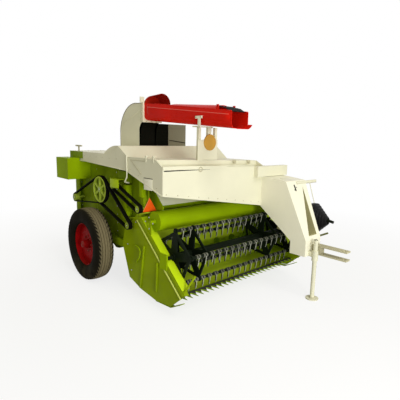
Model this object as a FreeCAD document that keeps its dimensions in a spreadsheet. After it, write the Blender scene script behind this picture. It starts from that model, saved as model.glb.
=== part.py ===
import FreeCAD, Part
import math
import os
import re
import Sketcher

# Towed straw reaper. Millimetres, Z up, travel towards -Y, X positive to the machine's left.
# Z = 0 is the ground; X = 0 is midway between the wheels; Y = 0 is mid-length.

os.makedirs("parts", exist_ok=True)
doc = FreeCAD.newDocument("straw_reaper")

# ---------------------------------------------------------------- driving dimensions
SIZES = {
    # running gear
    "axle_y": 907, "wheel_gap": 52, "tyre_od": 940, "tyre_w": 236, "rim_r": 292, "rim_w": 150,
    "rim_wall": 12, "disc_in": 62, "hub_r": 62, "hub_len": 130, "spindle_r": 32, "axle_sec": 100,
    "shoulder_w": 28, "shoulder_drop": 12, "wall_top": 95, "wall_foot": 20, "wall_in": 12,
    "wall_r": 142, "hub_face": 92, "bead_lip": 14, "well_w": 12, "dish_step": 20, "dish_r": 160,
    "hub_nose_r": 45,
    # clearances
    "run_gap": 0.3, "side_gap": 12,
    # thresher housing and chassis
    "half_body": 850, "body_rear": 700, "body_front": 640, "body_top": 1520, "drum_r": 360,
    "drum_y": 280, "drum_z": 800, "pan_y": 300, "pan_gap": 10, "axle_clear": 75, "pan_rear_z": 640,
    "rail_w": 60, "rail_depth": 90,
    # top panels
    "deck_over": 150, "deck_in": 270, "skin": 10, "deck_z": 1650, "panel_rear": 300, "deck_rear": 720,
    "skirt_z": 1525, "sill_z": 1560, "skirt_mid": 806, "skirt_mid_z": 1479, "panel_front": 1490,
    "skirt_front_z": 1275, "panel_top_z": 1566, "panel_low_z": 1530, "ledge_y": 1373, "ledge_z": 1631,
    "ledge_low_z": 1590, "hood_rear": 280, "hood_crest": 640, "hood_crest_z": 1750, "hood_front": 850,
    "hood_r": 520, "front_deck_t": 30, "panel_arm_z": 1025, "panel_notch_z": 1150, "wall_t": 8,
    "beam_w": 150, "beam_depth": 180,
    # draft arm and hitch
    "arm_in": 450, "arm_w_top": 410, "arm_w": 325, "arm_top_y": 1860, "arm_back_z": 1400,
    "arm_top_z": 1365, "arm_foot_y": 2183, "arm_foot_z": 700, "arm_root_z": 1015,
    "heel_y": 1975, "heel_z": 660, "arm_sole_z": 510, "slot_top_z": 1300, "slot_foot_z": 740,
    "slot_margin": 95, "slot_depth": 160, "root_box_in": 610, "root_box_top": 1530,
    "root_box_proud": 60, "clevis_reach": 2610, "clevis_w": 90, "clevis_t": 18, "clevis_gap": 80,
    "clevis_z": 545, "clevis_in": 192, "pin_r": 16, "pin_inset": 45, "clevis_web": 110,
    "jack_in": 90, "jack_y": 2262, "jack_r": 25, "sleeve_r": 36, "sleeve_len": 120,
    "sleeve_z": 470, "jack_top": 720, "foot_r": 75, "foot_t": 12, "jack_hole_r": 7,
    "jack_hole_low": 60, "jack_hole_high": 400, "pto_out": 102, "pto_z": 862, "pto_back": 1940,
    "pto_front": 2165, "pto_high": 410, "pto_wide": 250, "pto_narrow": 90, "pto_shaft_r": 26,
    "pto_stub_r": 17.5, "pto_stub_len": 95, "pto_tip": 2240, "gear_out": 10, "gear_z": 1210,
    "gear_size": 190, "gear_depth": 120, "gear_bore": 40, "bar_r": 20, "bar_y": 1868, "bar_z": 1335,
    "bar_reach": 238, "stay_r": 5, "hook_r": 12, "hook_y": 2110, "hook_z": 585,
    # chaff duct and spout
    "duct_x": -450, "duct_w": 250, "duct_rear": 255, "duct_fore": 225, "bend_z": 1960,
    "throat_y": 335, "throat_z": 2070, "throat_h": 222, "bend_r": 385, "elbow_flat": 150,
    "inner_r": 150, "flange_t": 14, "flange_w": 24, "spout_len": 1530, "spout_drop": 115,
    "spout_wall": 6, "spout_h": 215, "spout_end_h": 168, "spout_r": 60, "arch_len": 221,
    "arch_foot": 13, "arch_back": 87, "arch_front": 122, "arch_mouth": 62, "arch_rim": 30,
    "cover_from": 530, "cover_low": 23, "cover_high": 50,
    "lug_w": 60, "lug_h": 44, "flap_len": 165, "flap_back": 200, "flap_t": 5,
    "flap_fall": 60, "flap_high": 58, "flap_pin_r": 5, "rest_y": 1330, "post_w": 34, "saddle_t": 12,
    "disc_r": 90, "disc_t": 10, "disc_x": -258, "disc_z": 1811, "plate_t": 10,
    "box_x": -180, "box_w": 330, "box_rear": 230, "box_front": 60, "box_top": 2050, "grey_w": 330,
    # header
    "head_gap": 20, "head_reach": 240, "head_skin": 8, "side_t": 10,
    "nose_y": 1780, "nose_z": 307, "crown_y": 940, "crown_z": 1015, "back_y": 640, "back_z": 760,
    "back_mid_y": 590, "back_mid_z": 573, "tail_y": 743, "tail_z": 198, "keel_y": 984,
    "keel_z": 125, "belly_y": 1284, "belly_z": 88, "sole_y": 1555, "sole_z": 117, "lip_y": 1050,
    "lip_z": 1030, "pan_in": 34, "trough_z": 158, "flange_in": 55, "divider_r": 11,
    "divider_z": 500, "shoe_w": 60, "shoe_t": 8, "roll_r": 112, "roll_y": 1170, "roll_z": 945,
    "pivot_r": 28, "cut_y": 1600, "cut_z": 235, "guard_len": 110, "guard_pitch": 76.2,
    "guard_w": 22, "guard_h": 26, "knife_t": 4, "knife_w": 22, "knife_tooth": 62,
    "cutbar_t": 10, "cutbar_w": 64, "auger_r": 70, "flight_r": 140, "auger_y": 1020,
    "auger_z": 400, "flight_pitch": 300, "flight_t": 6, "auger_gap": 30,
    # reel
    "reel_y": 1469, "reel_z": 611, "reel_r": 290, "reel_tube_r": 38, "reel_bar_r": 16,
    "reel_bars": 5, "reel_phase": 96.3, "spider_t": 14, "spider_w": 42, "boss_r": 30,
    "reel_gap": 80, "spider_in": 250, "spider_in_left": 470, "tine_reach": 100, "tine_t": 7,
    "tine_pitch": 100, "tine_in": 107, "reel_stub_r": 20, "arm_plate_t": 16, "arm_plate_w": 120,
    # drive on the right side
    "drive_out": 150, "pulley_w": 56, "pulley_y": 150, "pulley_z": 672, "pulley_r": 166,
    "pulley_rim": 20, "pulley_hub": 40, "spokes": 6, "spoke_w": 24, "shaft_r": 15,
    "rear_pulley_y": -617, "rear_pulley_z": 473, "idler_r": 50, "jack_pulley_y": 470,
    "jack_pulley_z": 1279, "small_r": 38, "roll_pulley_y": 1030, "roll_pulley_z": 1075,
    "low_pulley_y": 810, "low_pulley_z": 850, "belt_t": 11, "belt_w": 48,
    "plate_back": 440, "gusset_fore": 1178, "gusset_mid": 1034, "gusset_mid_z": 1227,
    "frame_t": 14, "post_d": 50, "block_z": 1290,
    "block_h": 130, "guard_out": 170, "guard_box_rear": 795, "guard_box_fore": 405,
    "guard_box_z": 1275, "handle_y": -555, "handle_top": 1722, "handle_r": 9,
    "reflector_w": 183, "reflector_h": 157, "reflector_t": 4,
}

sheet = doc.addObject("Spreadsheet::Sheet", "sizes")
for row, (name, value) in enumerate(SIZES.items(), start=1):
    sheet.set(f"A{row}", name)
    sheet.set(f"B{row}", str(value))
    sheet.setAlias(f"B{row}", name)
doc.recompute()

# Places that follow from the sizes: wheel and header planes, deck edges, arm and driveline.
AXLE_Z = "tyre_od / 2"
RAIL_Z = "(tyre_od / 2 + axle_sec / 2)"
RAIL_X = "(half_body + rail_w)"
PULLEY_Z = f"({RAIL_Z} + pulley_z)"
REAR_PULLEY_Z = f"({RAIL_Z} + rear_pulley_z)"
WHEEL_X = "(half_body + rail_w + wheel_gap + tyre_w / 2)"
DECK_X = "(half_body + deck_over)"
DECK_LEFT = "(half_body - deck_in)"
HEAD_X0 = "(-half_body - rail_w - head_gap)"
HEAD_X1 = "(half_body + rail_w + head_reach)"
HEAD_IN = "(head_reach + head_gap + 2 * half_body + 2 * rail_w - 2 * side_t)"
ARM_X = "(half_body + deck_over - arm_in)"
PTO_X = "(half_body + deck_over - arm_in + arm_w_top + pto_out)"
GEAR_X = "(half_body + gear_out)"
FLAP_Y = "(throat_y + flange_t + spout_len - flap_back)"
FLAP_Z = "(throat_z - spout_drop + spout_end_h + flap_high)"
REEL_X0 = f"({HEAD_X0} + reel_gap)"
REEL_X1 = f"({HEAD_X1} - reel_gap)"
DRIVE_X = "(-half_body - drive_out)"

FUNCTIONS = {"cos", "sin", "tan", "sqrt", "deg", "min", "max", "abs"}
NODES = []


def bound(text):
    """Expression text with each size name read from the sheet."""
    return re.sub(r"[a-z][a-z_0-9]*", lambda m: m[0] if m[0] in FUNCTIONS else "sizes." + m[0], str(text))


def value(text):
    """Number that an expression on the sheet gives now."""
    return float(sheet.evalExpression(bound(text)))


def node(obj, label):
    """Name a finished sub-part; its label names its file."""
    obj.Label = label
    NODES.append(obj)
    return obj


# ---------------------------------------------------------------- primitives bound to the sheet
def place(obj, x, y, z, turn=None):
    """Bind the base of a placement, and turn it with (axis, degrees)."""
    if turn:
        obj.Placement = FreeCAD.Placement(FreeCAD.Vector(),
                                          FreeCAD.Rotation(FreeCAD.Vector(*turn[0]), turn[1]))
    for letter, text in zip("xyz", (x, y, z)):
        obj.setExpression(f"Placement.Base.{letter}", bound(text))
    return obj


def box(name, x, y, z, dx, dy, dz):
    obj = doc.addObject("Part::Box", name)
    obj.setExpression("Length", bound(dx))
    obj.setExpression("Width", bound(dy))
    obj.setExpression("Height", bound(dz))
    return place(obj, x, y, z)


TURNS = {"x": ((0, 1, 0), 90), "y": ((1, 0, 0), -90), "z": None}


def rod(name, axis, x, y, z, radius, length):
    """Cylinder from its low end along an axis."""
    obj = doc.addObject("Part::Cylinder", name)
    obj.setExpression("Radius", bound(radius))
    obj.setExpression("Height", bound(length))
    return place(obj, x, y, z, TURNS[axis])


def fuse(name, shapes):
    obj = doc.addObject("Part::MultiFuse", name)
    obj.Shapes = shapes
    return obj


def cut(name, base, tool):
    obj = doc.addObject("Part::Cut", name)
    obj.Base = base
    obj.Tool = tool
    return obj


def compound(name, links):
    obj = doc.addObject("Part::Compound", name)
    obj.Links = links
    return obj


# ---------------------------------------------------------------- bodies made from sketches
def body(name):
    obj = doc.addObject("PartDesign::Body", name)
    obj.AllowCompound = True
    return obj


def sketch(owner, role, offset="0"):
    """Sketch on one of the body's own origin planes, moved along that plane's normal."""
    obj = owner.newObject("Sketcher::SketchObject", owner.Name + "_sketch")
    origin = [f for f in owner.Origin.OriginFeatures if f.Role == role][0]
    obj.AttachmentSupport = [(origin, "")]
    obj.MapMode = "FlatFace"
    obj.setExpression("AttachmentOffset.Base.z", bound(offset))
    return obj


def pin_point(sk, geo, pos, x, y):
    """Fix a sketch point at two expressions."""
    for kind, text, axis in (("DistanceX", x, -2), ("DistanceY", y, -1)):
        if str(text) == "0":
            sk.addConstraint(Sketcher.Constraint("PointOnObject", geo, pos, axis))
        else:
            index = sk.addConstraint(Sketcher.Constraint(kind, -1, 1, geo, pos, value(text)))
            sk.setExpression(f"Constraints[{index}]", bound(text))


def arc_between(a, b, radius, side):
    """Circle arc from a to b: side 1 turns left on the way, side -1 turns right."""
    chord = b - a
    reach = math.sqrt(max(radius ** 2 - chord.Length ** 2 / 4, 0))
    normal = FreeCAD.Vector(-chord.y, chord.x, 0) / chord.Length
    centre = (a + b) / 2 + normal * reach * side
    first, last = (a, b) if side > 0 else (b, a)
    angles = [math.atan2(p.y - centre.y, p.x - centre.x) for p in (first, last)]
    circle = Part.Circle(centre, FreeCAD.Vector(0, 0, 1), radius)
    return Part.ArcOfCircle(circle, angles[0], angles[1])


def outline(sk, points):
    """Closed outline. A point is (x, y), or (x, y, radius, side) where an arc starts."""
    spots = [FreeCAD.Vector(value(p[0]), value(p[1]), 0) for p in points]
    count = len(points)
    ends = []
    for i, point in enumerate(points):
        a, b = spots[i], spots[(i + 1) % count]
        if len(point) == 2:
            geo = sk.addGeometry(Part.LineSegment(a, b))
            ends.append((geo, 1, 2))
        else:
            geo = sk.addGeometry(arc_between(a, b, value(point[2]), point[3]))
            ends.append((geo, 1, 2) if point[3] > 0 else (geo, 2, 1))
    for i, (geo, start, end) in enumerate(ends):
        following = ends[(i + 1) % count]
        sk.addConstraint(Sketcher.Constraint("Coincident", geo, end, following[0], following[1]))
    for i, point in enumerate(points):
        pin_point(sk, ends[i][0], ends[i][1], point[0], point[1])
        if len(point) == 4:
            index = sk.addConstraint(Sketcher.Constraint("Radius", ends[i][0], value(point[2])))
            sk.setExpression(f"Constraints[{index}]", bound(point[2]))
    return sk


def circle(sk, x, y, radius):
    geo = sk.addGeometry(Part.Circle(FreeCAD.Vector(value(x), value(y), 0), FreeCAD.Vector(0, 0, 1),
                                     value(radius)))
    pin_point(sk, geo, 3, x, y)
    index = sk.addConstraint(Sketcher.Constraint("Radius", geo, value(radius)))
    sk.setExpression(f"Constraints[{index}]", bound(radius))
    return sk


def pad(owner, sk, length, kind="PartDesign::Pad"):
    obj = owner.newObject(kind, owner.Name + "_" + kind.split("::")[1].lower())
    obj.Profile = sk
    obj.setExpression("Length", bound(length))
    owner.Tip = obj
    sk.Visibility = False
    return obj


def pocket(owner, sk, length, forward=True):
    """Pocket along the sketch's normal, or against it."""
    obj = pad(owner, sk, length, "PartDesign::Pocket")
    obj.Reversed = forward
    return obj


def turned(owner, sk, kind="PartDesign::Revolution"):
    """Full turn about the sketch's horizontal axis."""
    obj = owner.newObject(kind, owner.Name + "_turn")
    obj.Profile = sk
    obj.ReferenceAxis = (sk, ["H_Axis"])
    obj.Angle = 360
    owner.Tip = obj
    sk.Visibility = False
    return obj


def strut(name, start, end, radius):
    """Cylinder between two points given as expressions."""
    a, b = (FreeCAD.Vector(*[value(text) for text in point]) for point in (start, end))
    obj = doc.addObject("Part::Cylinder", name)
    obj.Placement = FreeCAD.Placement(FreeCAD.Vector(), FreeCAD.Rotation(FreeCAD.Vector(0, 0, 1), b - a))
    obj.setExpression("Radius", bound(radius))
    squares = " + ".join(f"({q} - ({p})) ^ 2" for p, q in zip(start, end))
    obj.setExpression("Height", bound(f"sqrt({squares})"))
    return place(obj, *start)


def strip(line, thick):
    """Outline of a bent sheet: a line of (Y, Z) points, and the line moved to its left by the thickness."""
    spots = [FreeCAD.Vector(value(y), value(z), 0) for y, z in line]
    normals = []
    for a, b in zip(spots, spots[1:]):
        run = (b - a).normalize()
        normals.append(FreeCAD.Vector(-run.y, run.x, 0))
    moved = []
    for i, (y, z) in enumerate(line):
        before, after = normals[max(i - 1, 0)], normals[min(i, len(normals) - 1)]
        mitre = (before + after) / (1 + before.dot(after))
        moved.append((f"{y} + ({thick}) * {mitre.x:.6f}", f"{z} + ({thick}) * {mitre.y:.6f}"))
    return list(line) + moved[::-1]


def wire_loop(sk, centres, reach):
    """Belt line round two pulleys: tangents joined by the arcs at their ends."""
    (y0, z0, r0), (y1, z1, r1) = centres
    run = FreeCAD.Vector(value(y1) - value(y0), value(z1) - value(z0), 0)
    aim = math.degrees(math.atan2(run.y, run.x))
    lean = math.degrees(math.acos((value(r0) - value(r1)) / run.Length))
    points = []
    for (y, z, r), turn in (((y0, z0, r0), lean), ((y0, z0, r0), -lean), ((y1, z1, r1), -lean),
                            ((y1, z1, r1), lean)):
        angle = aim + turn
        points.append((f"{y} + ({r} + {reach}) * cos({angle:.5f} deg)",
                       f"{z} + ({r} + {reach}) * sin({angle:.5f} deg)"))
    arcs = []
    for y, z, r, start, sweep in ((y0, z0, r0, aim + lean, 360 - 2 * lean),
                                  (y1, z1, r1, aim - lean, 2 * lean)):
        angle = start + sweep / 2
        arcs.append((f"{y} + ({r} + {reach}) * cos({angle:.5f} deg)",
                     f"{z} + ({r} + {reach}) * sin({angle:.5f} deg)"))
    size0, size1 = f"{r0} + {reach}", f"{r1} + {reach}"
    return outline(sk, [(*points[0], size0, 1), (*arcs[0], size0, 1), points[1],
                        (*points[2], size1, 1), (*arcs[1], size1, 1), points[3]])


def loft_solid(name, plane, stations):
    """Ruled solid through outlines with equal point counts, each at its own offset."""
    owner = body(name)
    sketches = []
    for offset, points in stations:
        sketches.append(outline(sketch(owner, plane, offset), points))
    loft = owner.newObject("PartDesign::AdditiveLoft", name + "_loft")
    loft.Profile = sketches[0]
    loft.Sections = sketches[1:]
    loft.Ruled = True
    owner.Tip = loft
    for sk in sketches:
        sk.Visibility = False
    return owner


def side_cut(name, points, x, width):
    """Plate or block with an outline in Y and Z, padded from x towards +X."""
    owner = body(name)
    sk = outline(sketch(owner, "YZ_Plane", x), points)
    pad(owner, sk, width)
    return owner


def aft(distance):
    """Y of a place measured forward from the axle."""
    return f"axle_y - ({distance})"


# ---------------------------------------------------------------- running gear
def axle():
    half = "(half_body + rail_w + wheel_gap - side_gap)"
    beam = box("axle_bar", f"-{half}", "axle_y - axle_sec / 2", "tyre_od / 2 - axle_sec / 2",
               f"2 * {half}", "axle_sec", "axle_sec")
    reach = f"({WHEEL_X} + hub_face - spindle_r)"
    spindle = rod("spindles", "x", f"-{reach}", "axle_y", "tyre_od / 2", "spindle_r", f"2 * {reach}")
    return node(fuse("axle_beam", [beam, spindle]), "axle_beam")


def wheel(side, word):
    """Tyre and dished rim of one wheel; both turn on the spindle."""
    centre = f"{side} * {WHEEL_X}"
    tyre = body("tyre_" + word)
    sk = sketch(tyre, "XY_Plane")
    outline(sk, [
        ("-rim_w / 2", "rim_r - bead_lip"),
        ("rim_w / 2", "rim_r - bead_lip"),
        ("tyre_w / 2 - wall_in", "rim_r + wall_foot", "wall_r", 1),
        ("tyre_w / 2", "tyre_od / 2 - wall_top", "wall_r", 1),
        ("tyre_w / 2 - shoulder_w", "tyre_od / 2 - shoulder_drop"),
        ("0", "tyre_od / 2"),
        ("-tyre_w / 2 + shoulder_w", "tyre_od / 2 - shoulder_drop", "wall_r", 1),
        ("-tyre_w / 2", "tyre_od / 2 - wall_top", "wall_r", 1),
        ("-tyre_w / 2 + wall_in", "rim_r + wall_foot"),
    ])
    turned(tyre, sk)
    place(tyre, centre, "axle_y", "tyre_od / 2")
    node(tyre, "tyre_" + word)
    rim = body("rim_" + word)
    sk = sketch(rim, "XY_Plane")
    bead, well = "rim_r - bead_lip", "rim_r - bead_lip - rim_wall"
    dish = "rim_w / 2 - disc_in"
    outline(sk, [(f"{side} * ({x})", r) for x, r in (
        ("-rim_w / 2", well),
        ("-rim_w / 2", bead),
        ("rim_w / 2", bead),
        ("rim_w / 2", well),
        ("well_w", well),
        (f"{dish} + dish_step", "dish_r"),
        (dish, "hub_r"),
        ("hub_face", "hub_nose_r"),
        ("hub_face", "spindle_r + run_gap"),
        ("hub_face - hub_len", "spindle_r + run_gap"),
        ("hub_face - hub_len", "hub_r"),
        (f"{dish} - rim_wall", "hub_r"),
        (f"{dish} + dish_step - rim_wall", "dish_r"),
        ("0", well),
    )])
    turned(rim, sk)
    place(rim, centre, "axle_y", "tyre_od / 2")
    node(rim, "rim_" + word)


# ---------------------------------------------------------------- chassis and thresher housing
def housing():
    return node(side_cut("thresher_housing", [
        (aft("body_front"), "body_top"),
        (aft("body_front"), "drum_z", "drum_r", 1),
        (aft("drum_y"), "drum_z - drum_r"),
        (aft("axle_clear"), f"{RAIL_Z} + pan_gap"),
        (aft("-pan_y"), f"{RAIL_Z} + pan_gap"),
        (aft("-body_rear"), "pan_rear_z"),
        (aft("-body_rear"), "body_top"),
    ], "-half_body", "2 * half_body"), "thresher_housing")


def chassis():
    """Two side rails on the axle bar, against the housing, joined by a rear cross member."""
    rails = []
    for x, word in (("-half_body - rail_w", "right"), ("half_body", "left")):
        rails.append(box("rail_" + word, x, aft("body_front"), RAIL_Z, "rail_w", "body_front + body_rear",
                         "rail_depth"))
    cross = box("rail_cross", f"-{RAIL_X}", aft("-body_rear"), RAIL_Z, f"2 * {RAIL_X}", "rail_w",
                "rail_depth")
    return node(fuse("chassis_frame", rails + [cross]), "chassis_frame")


# ---------------------------------------------------------------- top panels
def deck():
    """Deck that closes the housing; it overhangs on the right and stops short on the left."""
    return node(box("deck", f"-{DECK_X} + skin", aft("hood_rear"), "body_top",
                    f"{DECK_X} + {DECK_LEFT} - 2 * skin",
                    "hood_rear + deck_rear", "deck_z - body_top"), "deck")


def side_panels():
    """Long side sheets that carry the top forward over the header."""
    right = [
        (aft("-panel_rear"), "deck_z"),
        (aft("-panel_rear"), "skirt_z"),
        (aft("skirt_mid"), "skirt_mid_z"),
        (aft("panel_front"), "skirt_front_z"),
        (aft("panel_front"), "panel_top_z"),
        (aft("ledge_y"), "ledge_z"),
        (aft("hood_front"), "ledge_z"),
        (aft("hood_crest"), "hood_crest_z", "hood_r", 1),
        (aft("hood_rear"), "deck_z"),
    ]
    left = right[:1] + [(aft("-panel_rear"), "body_top"), (aft("body_front"), "body_top"),
                        right[2]] + right[3:4] + [
        (aft("panel_front"), "panel_low_z"),
        (aft("ledge_y"), "ledge_low_z"),
        (aft("hood_front"), "ledge_low_z"),
    ] + right[7:]
    for x, word, points in ((f"-{DECK_X}", "right", right), (f"{DECK_LEFT} - skin", "left", left)):
        node(side_cut("side_panel_" + word, points, x, "skin"), "side_panel_" + word)
    sills = []
    for x, low, word in ((f"-{DECK_X}", "sill_z", "right"), (f"{DECK_LEFT} - skin", "body_top", "left")):
        sills.append(box("sill_" + word, x, aft("-panel_rear"), low, "skin", "deck_rear - panel_rear",
                         f"deck_z - {low}"))
    node(compound("rear_sills", sills), "rear_sills")


def drum_hood():
    """Raised hood over the threshing drum, across the machine."""
    ends = []
    for x, low in ((f"-{DECK_X} + skin", "ledge_z"), (f"{DECK_LEFT} - skin", "ledge_low_z")):
        ends.append((x, [
            (aft("hood_rear"), "body_top"),
            (aft("body_front"), "body_top"),
            (aft("body_front"), "skirt_mid_z"),
            (aft("hood_front"), "skirt_mid_z"),
            (aft("hood_front"), low),
            (aft("hood_crest"), "hood_crest_z", "hood_r", -1),
            (aft("hood_rear"), "deck_z"),
        ]))
    return node(loft_solid("drum_hood", "YZ_Plane", ends), "drum_hood")


def front_deck():
    """Deck ahead of the hood; it falls a little towards the left, as the front panel's top does."""
    ends = []
    for x, top, panel in ((f"-{DECK_X} + skin", "ledge_z", "panel_top_z"),
                          (f"{DECK_LEFT} - skin", "ledge_low_z", "panel_low_z")):
        ends.append((x, [
            (aft("hood_front"), top),
            (aft("hood_front"), f"{top} - front_deck_t"),
            (aft("panel_front - skin"), f"{panel} - 2 * front_deck_t"),
            (aft("panel_front - skin"), f"{panel} - front_deck_t"),
            (aft("ledge_y"), f"{panel} - front_deck_t + 6"),
            (aft("ledge_y"), top),
        ]))
    return node(loft_solid("front_deck", "YZ_Plane", ends), "front_deck")


def front_panel():
    """Cross sheet over the header; its lower edge falls towards the draft arm."""
    owner = body("front_panel")
    sk = outline(sketch(owner, "XZ_Plane", f"-({aft('panel_front')})"), [
        (f"-{DECK_X}", "skirt_front_z"),
        (ARM_X, "panel_arm_z"),
        (f"{ARM_X} + arm_w", "panel_arm_z"),
        (f"{ARM_X} + arm_w", "panel_notch_z"),
        (f"{ARM_X} + arm_w_top", "panel_notch_z"),
        (f"{ARM_X} + arm_w_top", "skirt_front_z"),
        (DECK_X, "skirt_front_z"),
        (DECK_X, "panel_low_z"),
        (f"{DECK_X} - root_box_in", "panel_low_z"),
        (f"-{DECK_X}", "panel_top_z"),
    ])
    pad(owner, sk, "skin")
    return node(owner, "front_panel")


def front_wall():
    """Sheet from the drum hood down to the header's lip."""
    return node(side_cut("front_wall", strip([
        (aft("hood_front - wall_t"), "skirt_mid_z"),
        (aft("hood_front + wall_t"), "skirt_front_z"),
        (aft("crown_y - pan_in"), "crown_z + pan_in"),
    ], "wall_t"), "-half_body", f"half_body + {DECK_LEFT} - skin"), "front_wall")


def arm_beam():
    """Box beam on the housing's front that carries the front panel and the draft arm."""
    return node(box("arm_beam", f"{DECK_LEFT} + side_gap", aft("panel_front - skin"),
                    "body_top - beam_depth",
                    "beam_w", "panel_front - skin - body_front", "beam_depth"), "arm_beam")


# ---------------------------------------------------------------- draft arm and hitch
def draft_arm():
    """Welded box arm from the front panel down to the clevis, open slot in its front face."""
    owner = body("draft_arm")
    sk = outline(sketch(owner, "YZ_Plane", ARM_X), [
        (aft("panel_front + skin"), "arm_back_z"),
        (aft("panel_front + skin"), "arm_root_z"),
        (aft("heel_y"), "heel_z"),
        (aft("heel_y"), "arm_sole_z"),
        (aft("arm_foot_y"), "arm_sole_z"),
        (aft("arm_foot_y"), "arm_foot_z"),
        (aft("arm_top_y"), "arm_top_z"),
    ])
    pad(owner, sk, "arm_w_top")
    beyond = f"{ARM_X} + arm_w_top + rail_w"
    taper = outline(sketch(owner, "XZ_Plane", f"-({aft('arm_foot_y + rail_w')})"), [
        (f"{ARM_X} + arm_w", "arm_sole_z - rail_w"),
        (beyond, "arm_sole_z - rail_w"),
        (beyond, "arm_top_z"),
        (f"{ARM_X} + arm_w_top", "arm_top_z"),
        (f"{ARM_X} + arm_w", "arm_foot_z"),
    ])
    pocket(owner, taper, "arm_foot_y - panel_front + 2 * rail_w", False)
    slot = outline(sketch(owner, "XZ_Plane", f"-({aft('arm_foot_y + rail_w')})"), [
        (f"{ARM_X} + slot_margin", "slot_foot_z"),
        (f"{ARM_X} + arm_w - slot_margin * 0.6", "slot_foot_z"),
        (f"{ARM_X} + arm_w_top - slot_margin", "slot_top_z"),
    ])
    pocket(owner, slot, "arm_foot_y - arm_top_y + rail_w + slot_depth", False)
    return node(owner, "draft_arm")


def root_box():
    """Box at the arm's root, standing proud of the front panel."""
    return node(box("root_box", f"{DECK_X} - root_box_in", aft("panel_front + skin + root_box_proud"),
                    "arm_back_z",
                    "root_box_in", "root_box_proud", "root_box_top - arm_back_z"), "root_box")


def clevis():
    """Two plates and a web with a vertical pin hole for the tractor's drawbar."""
    root = aft("arm_foot_y")
    tip = aft("clevis_reach")
    length = "clevis_reach - arm_foot_y"
    plates = []
    for name, z in (("upper", "clevis_z + clevis_gap"), ("lower", "clevis_z - clevis_t")):
        plate = box("clevis_" + name, f"{ARM_X} + clevis_in - clevis_w / 2", tip, z, "clevis_w", length,
                    "clevis_t")
        plates.append(plate)
    web = box("clevis_web", f"{ARM_X} + clevis_in - clevis_w / 2", f"{root} - clevis_web",
              "clevis_z - clevis_t / 2",
              "clevis_w", "clevis_web", "clevis_gap + clevis_t")
    hole = rod("clevis_hole", "z", f"{ARM_X} + clevis_in", aft("clevis_reach - pin_inset"), "clevis_z - 60",
               "pin_r", "clevis_gap + 120")
    return node(cut("clevis", fuse("clevis_plates", plates + [web]), hole), "clevis")


def jack():
    """Parking jack: a sleeve on the arm's foot and a leg with pin holes and a round foot."""
    x, y = f"{ARM_X} + jack_in", aft("jack_y")
    sleeve = rod("sleeve_tube", "z", x, y, "sleeve_z", "sleeve_r", "sleeve_len")
    lug = box("sleeve_lug", f"{x} - sleeve_r / 2", y, "arm_sole_z", "sleeve_r", "jack_y - arm_foot_y",
              "sleeve_len / 2")
    bore = rod("sleeve_bore", "z", x, y, "sleeve_z - foot_t", "jack_r + run_gap", "sleeve_len + 2 * foot_t")
    node(cut("jack_sleeve", fuse("sleeve_solid", [sleeve, lug]), bore), "jack_sleeve")
    leg = rod("leg_tube", "z", x, y, "foot_t / 2", "jack_r", "jack_top - foot_t / 2")
    foot = rod("leg_foot", "z", x, y, "0", "foot_r", "foot_t")
    holes = []
    for word in ("low", "high"):
        holes.append(rod("leg_hole_" + word, "y", x, f"{y} - 2 * jack_r", "jack_hole_" + word, "jack_hole_r",
                         "4 * jack_r"))
    node(cut("jack_leg", fuse("leg_solid", [leg, foot]), compound("leg_holes", holes)), "jack_leg")


def driveline():
    """Input gearbox on the housing, inclined shaft, its guard, and the bar and stay that hold the guard."""
    face = aft("body_front + gear_depth")
    start = (GEAR_X, f"{face} + gear_bore", "gear_z")
    tip = (PTO_X, aft("pto_tip"), "pto_z")
    share = "(pto_stub_len / (pto_tip - body_front - gear_depth + gear_bore))"
    step = tuple(f"{b} + ({a} - ({b})) * {share}" for a, b in zip(start, tip))
    tube = strut("shaft_tube", start, step, "pto_shaft_r")
    stub = strut("shaft_stub", start, tip, "pto_stub_r")
    node(fuse("pto_shaft", [tube, stub]), "pto_shaft")
    back = (f"{GEAR_X} * 2 - {PTO_X}", f"2 * ({face} + gear_bore) - ({aft('pto_tip')})",
            "2 * gear_z - pto_z")
    room = strut("gear_room", start, step, "pto_shaft_r + run_gap")
    case = box("gear_case", f"{GEAR_X} - gear_size / 2", face, "gear_z - gear_size / 2", "gear_size",
               "gear_depth", "gear_size")
    node(cut("gearbox", case, room), "gearbox")
    rings = []
    for y, high, wide in (("pto_back", "pto_high", "pto_wide"), ("pto_front", "pto_narrow", "pto_narrow")):
        rings.append((f"-({aft(y)})", [
            (f"{PTO_X} - {wide} / 2", f"pto_z - {high} * 0.42"),
            (PTO_X, f"pto_z - {high} / 2"),
            (f"{PTO_X} + {wide} / 2", f"pto_z - {high} * 0.42"),
            (f"{PTO_X} + {wide} / 2", f"pto_z + {high} * 0.3"),
            (PTO_X, f"pto_z + {high} / 2"),
            (f"{PTO_X} - {wide} / 2", f"pto_z + {high} * 0.3"),
        ]))
    shell = loft_solid("guard_solid", "XZ_Plane", rings)
    bore = strut("guard_bore", back, tip, "pto_shaft_r + run_gap")
    node(cut("pto_guard", shell, bore), "pto_guard")
    bar = rod("bar_tube", "x", f"{ARM_X} + arm_w_top / 2", aft("bar_y"), "bar_z", "bar_r",
              "arm_w_top / 2 + bar_reach")
    stay = strut("bar_stay", (PTO_X, aft("bar_y"), "bar_z"),
                 (PTO_X, aft("pto_back + bar_r"), "pto_z + pto_high / 2"), "stay_r")
    node(cut("guard_bar", cut("bar_fitted", fuse("bar_stay_solid", [bar, stay]), doc.getObject("draft_arm")),
             shell), "guard_bar")


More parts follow.
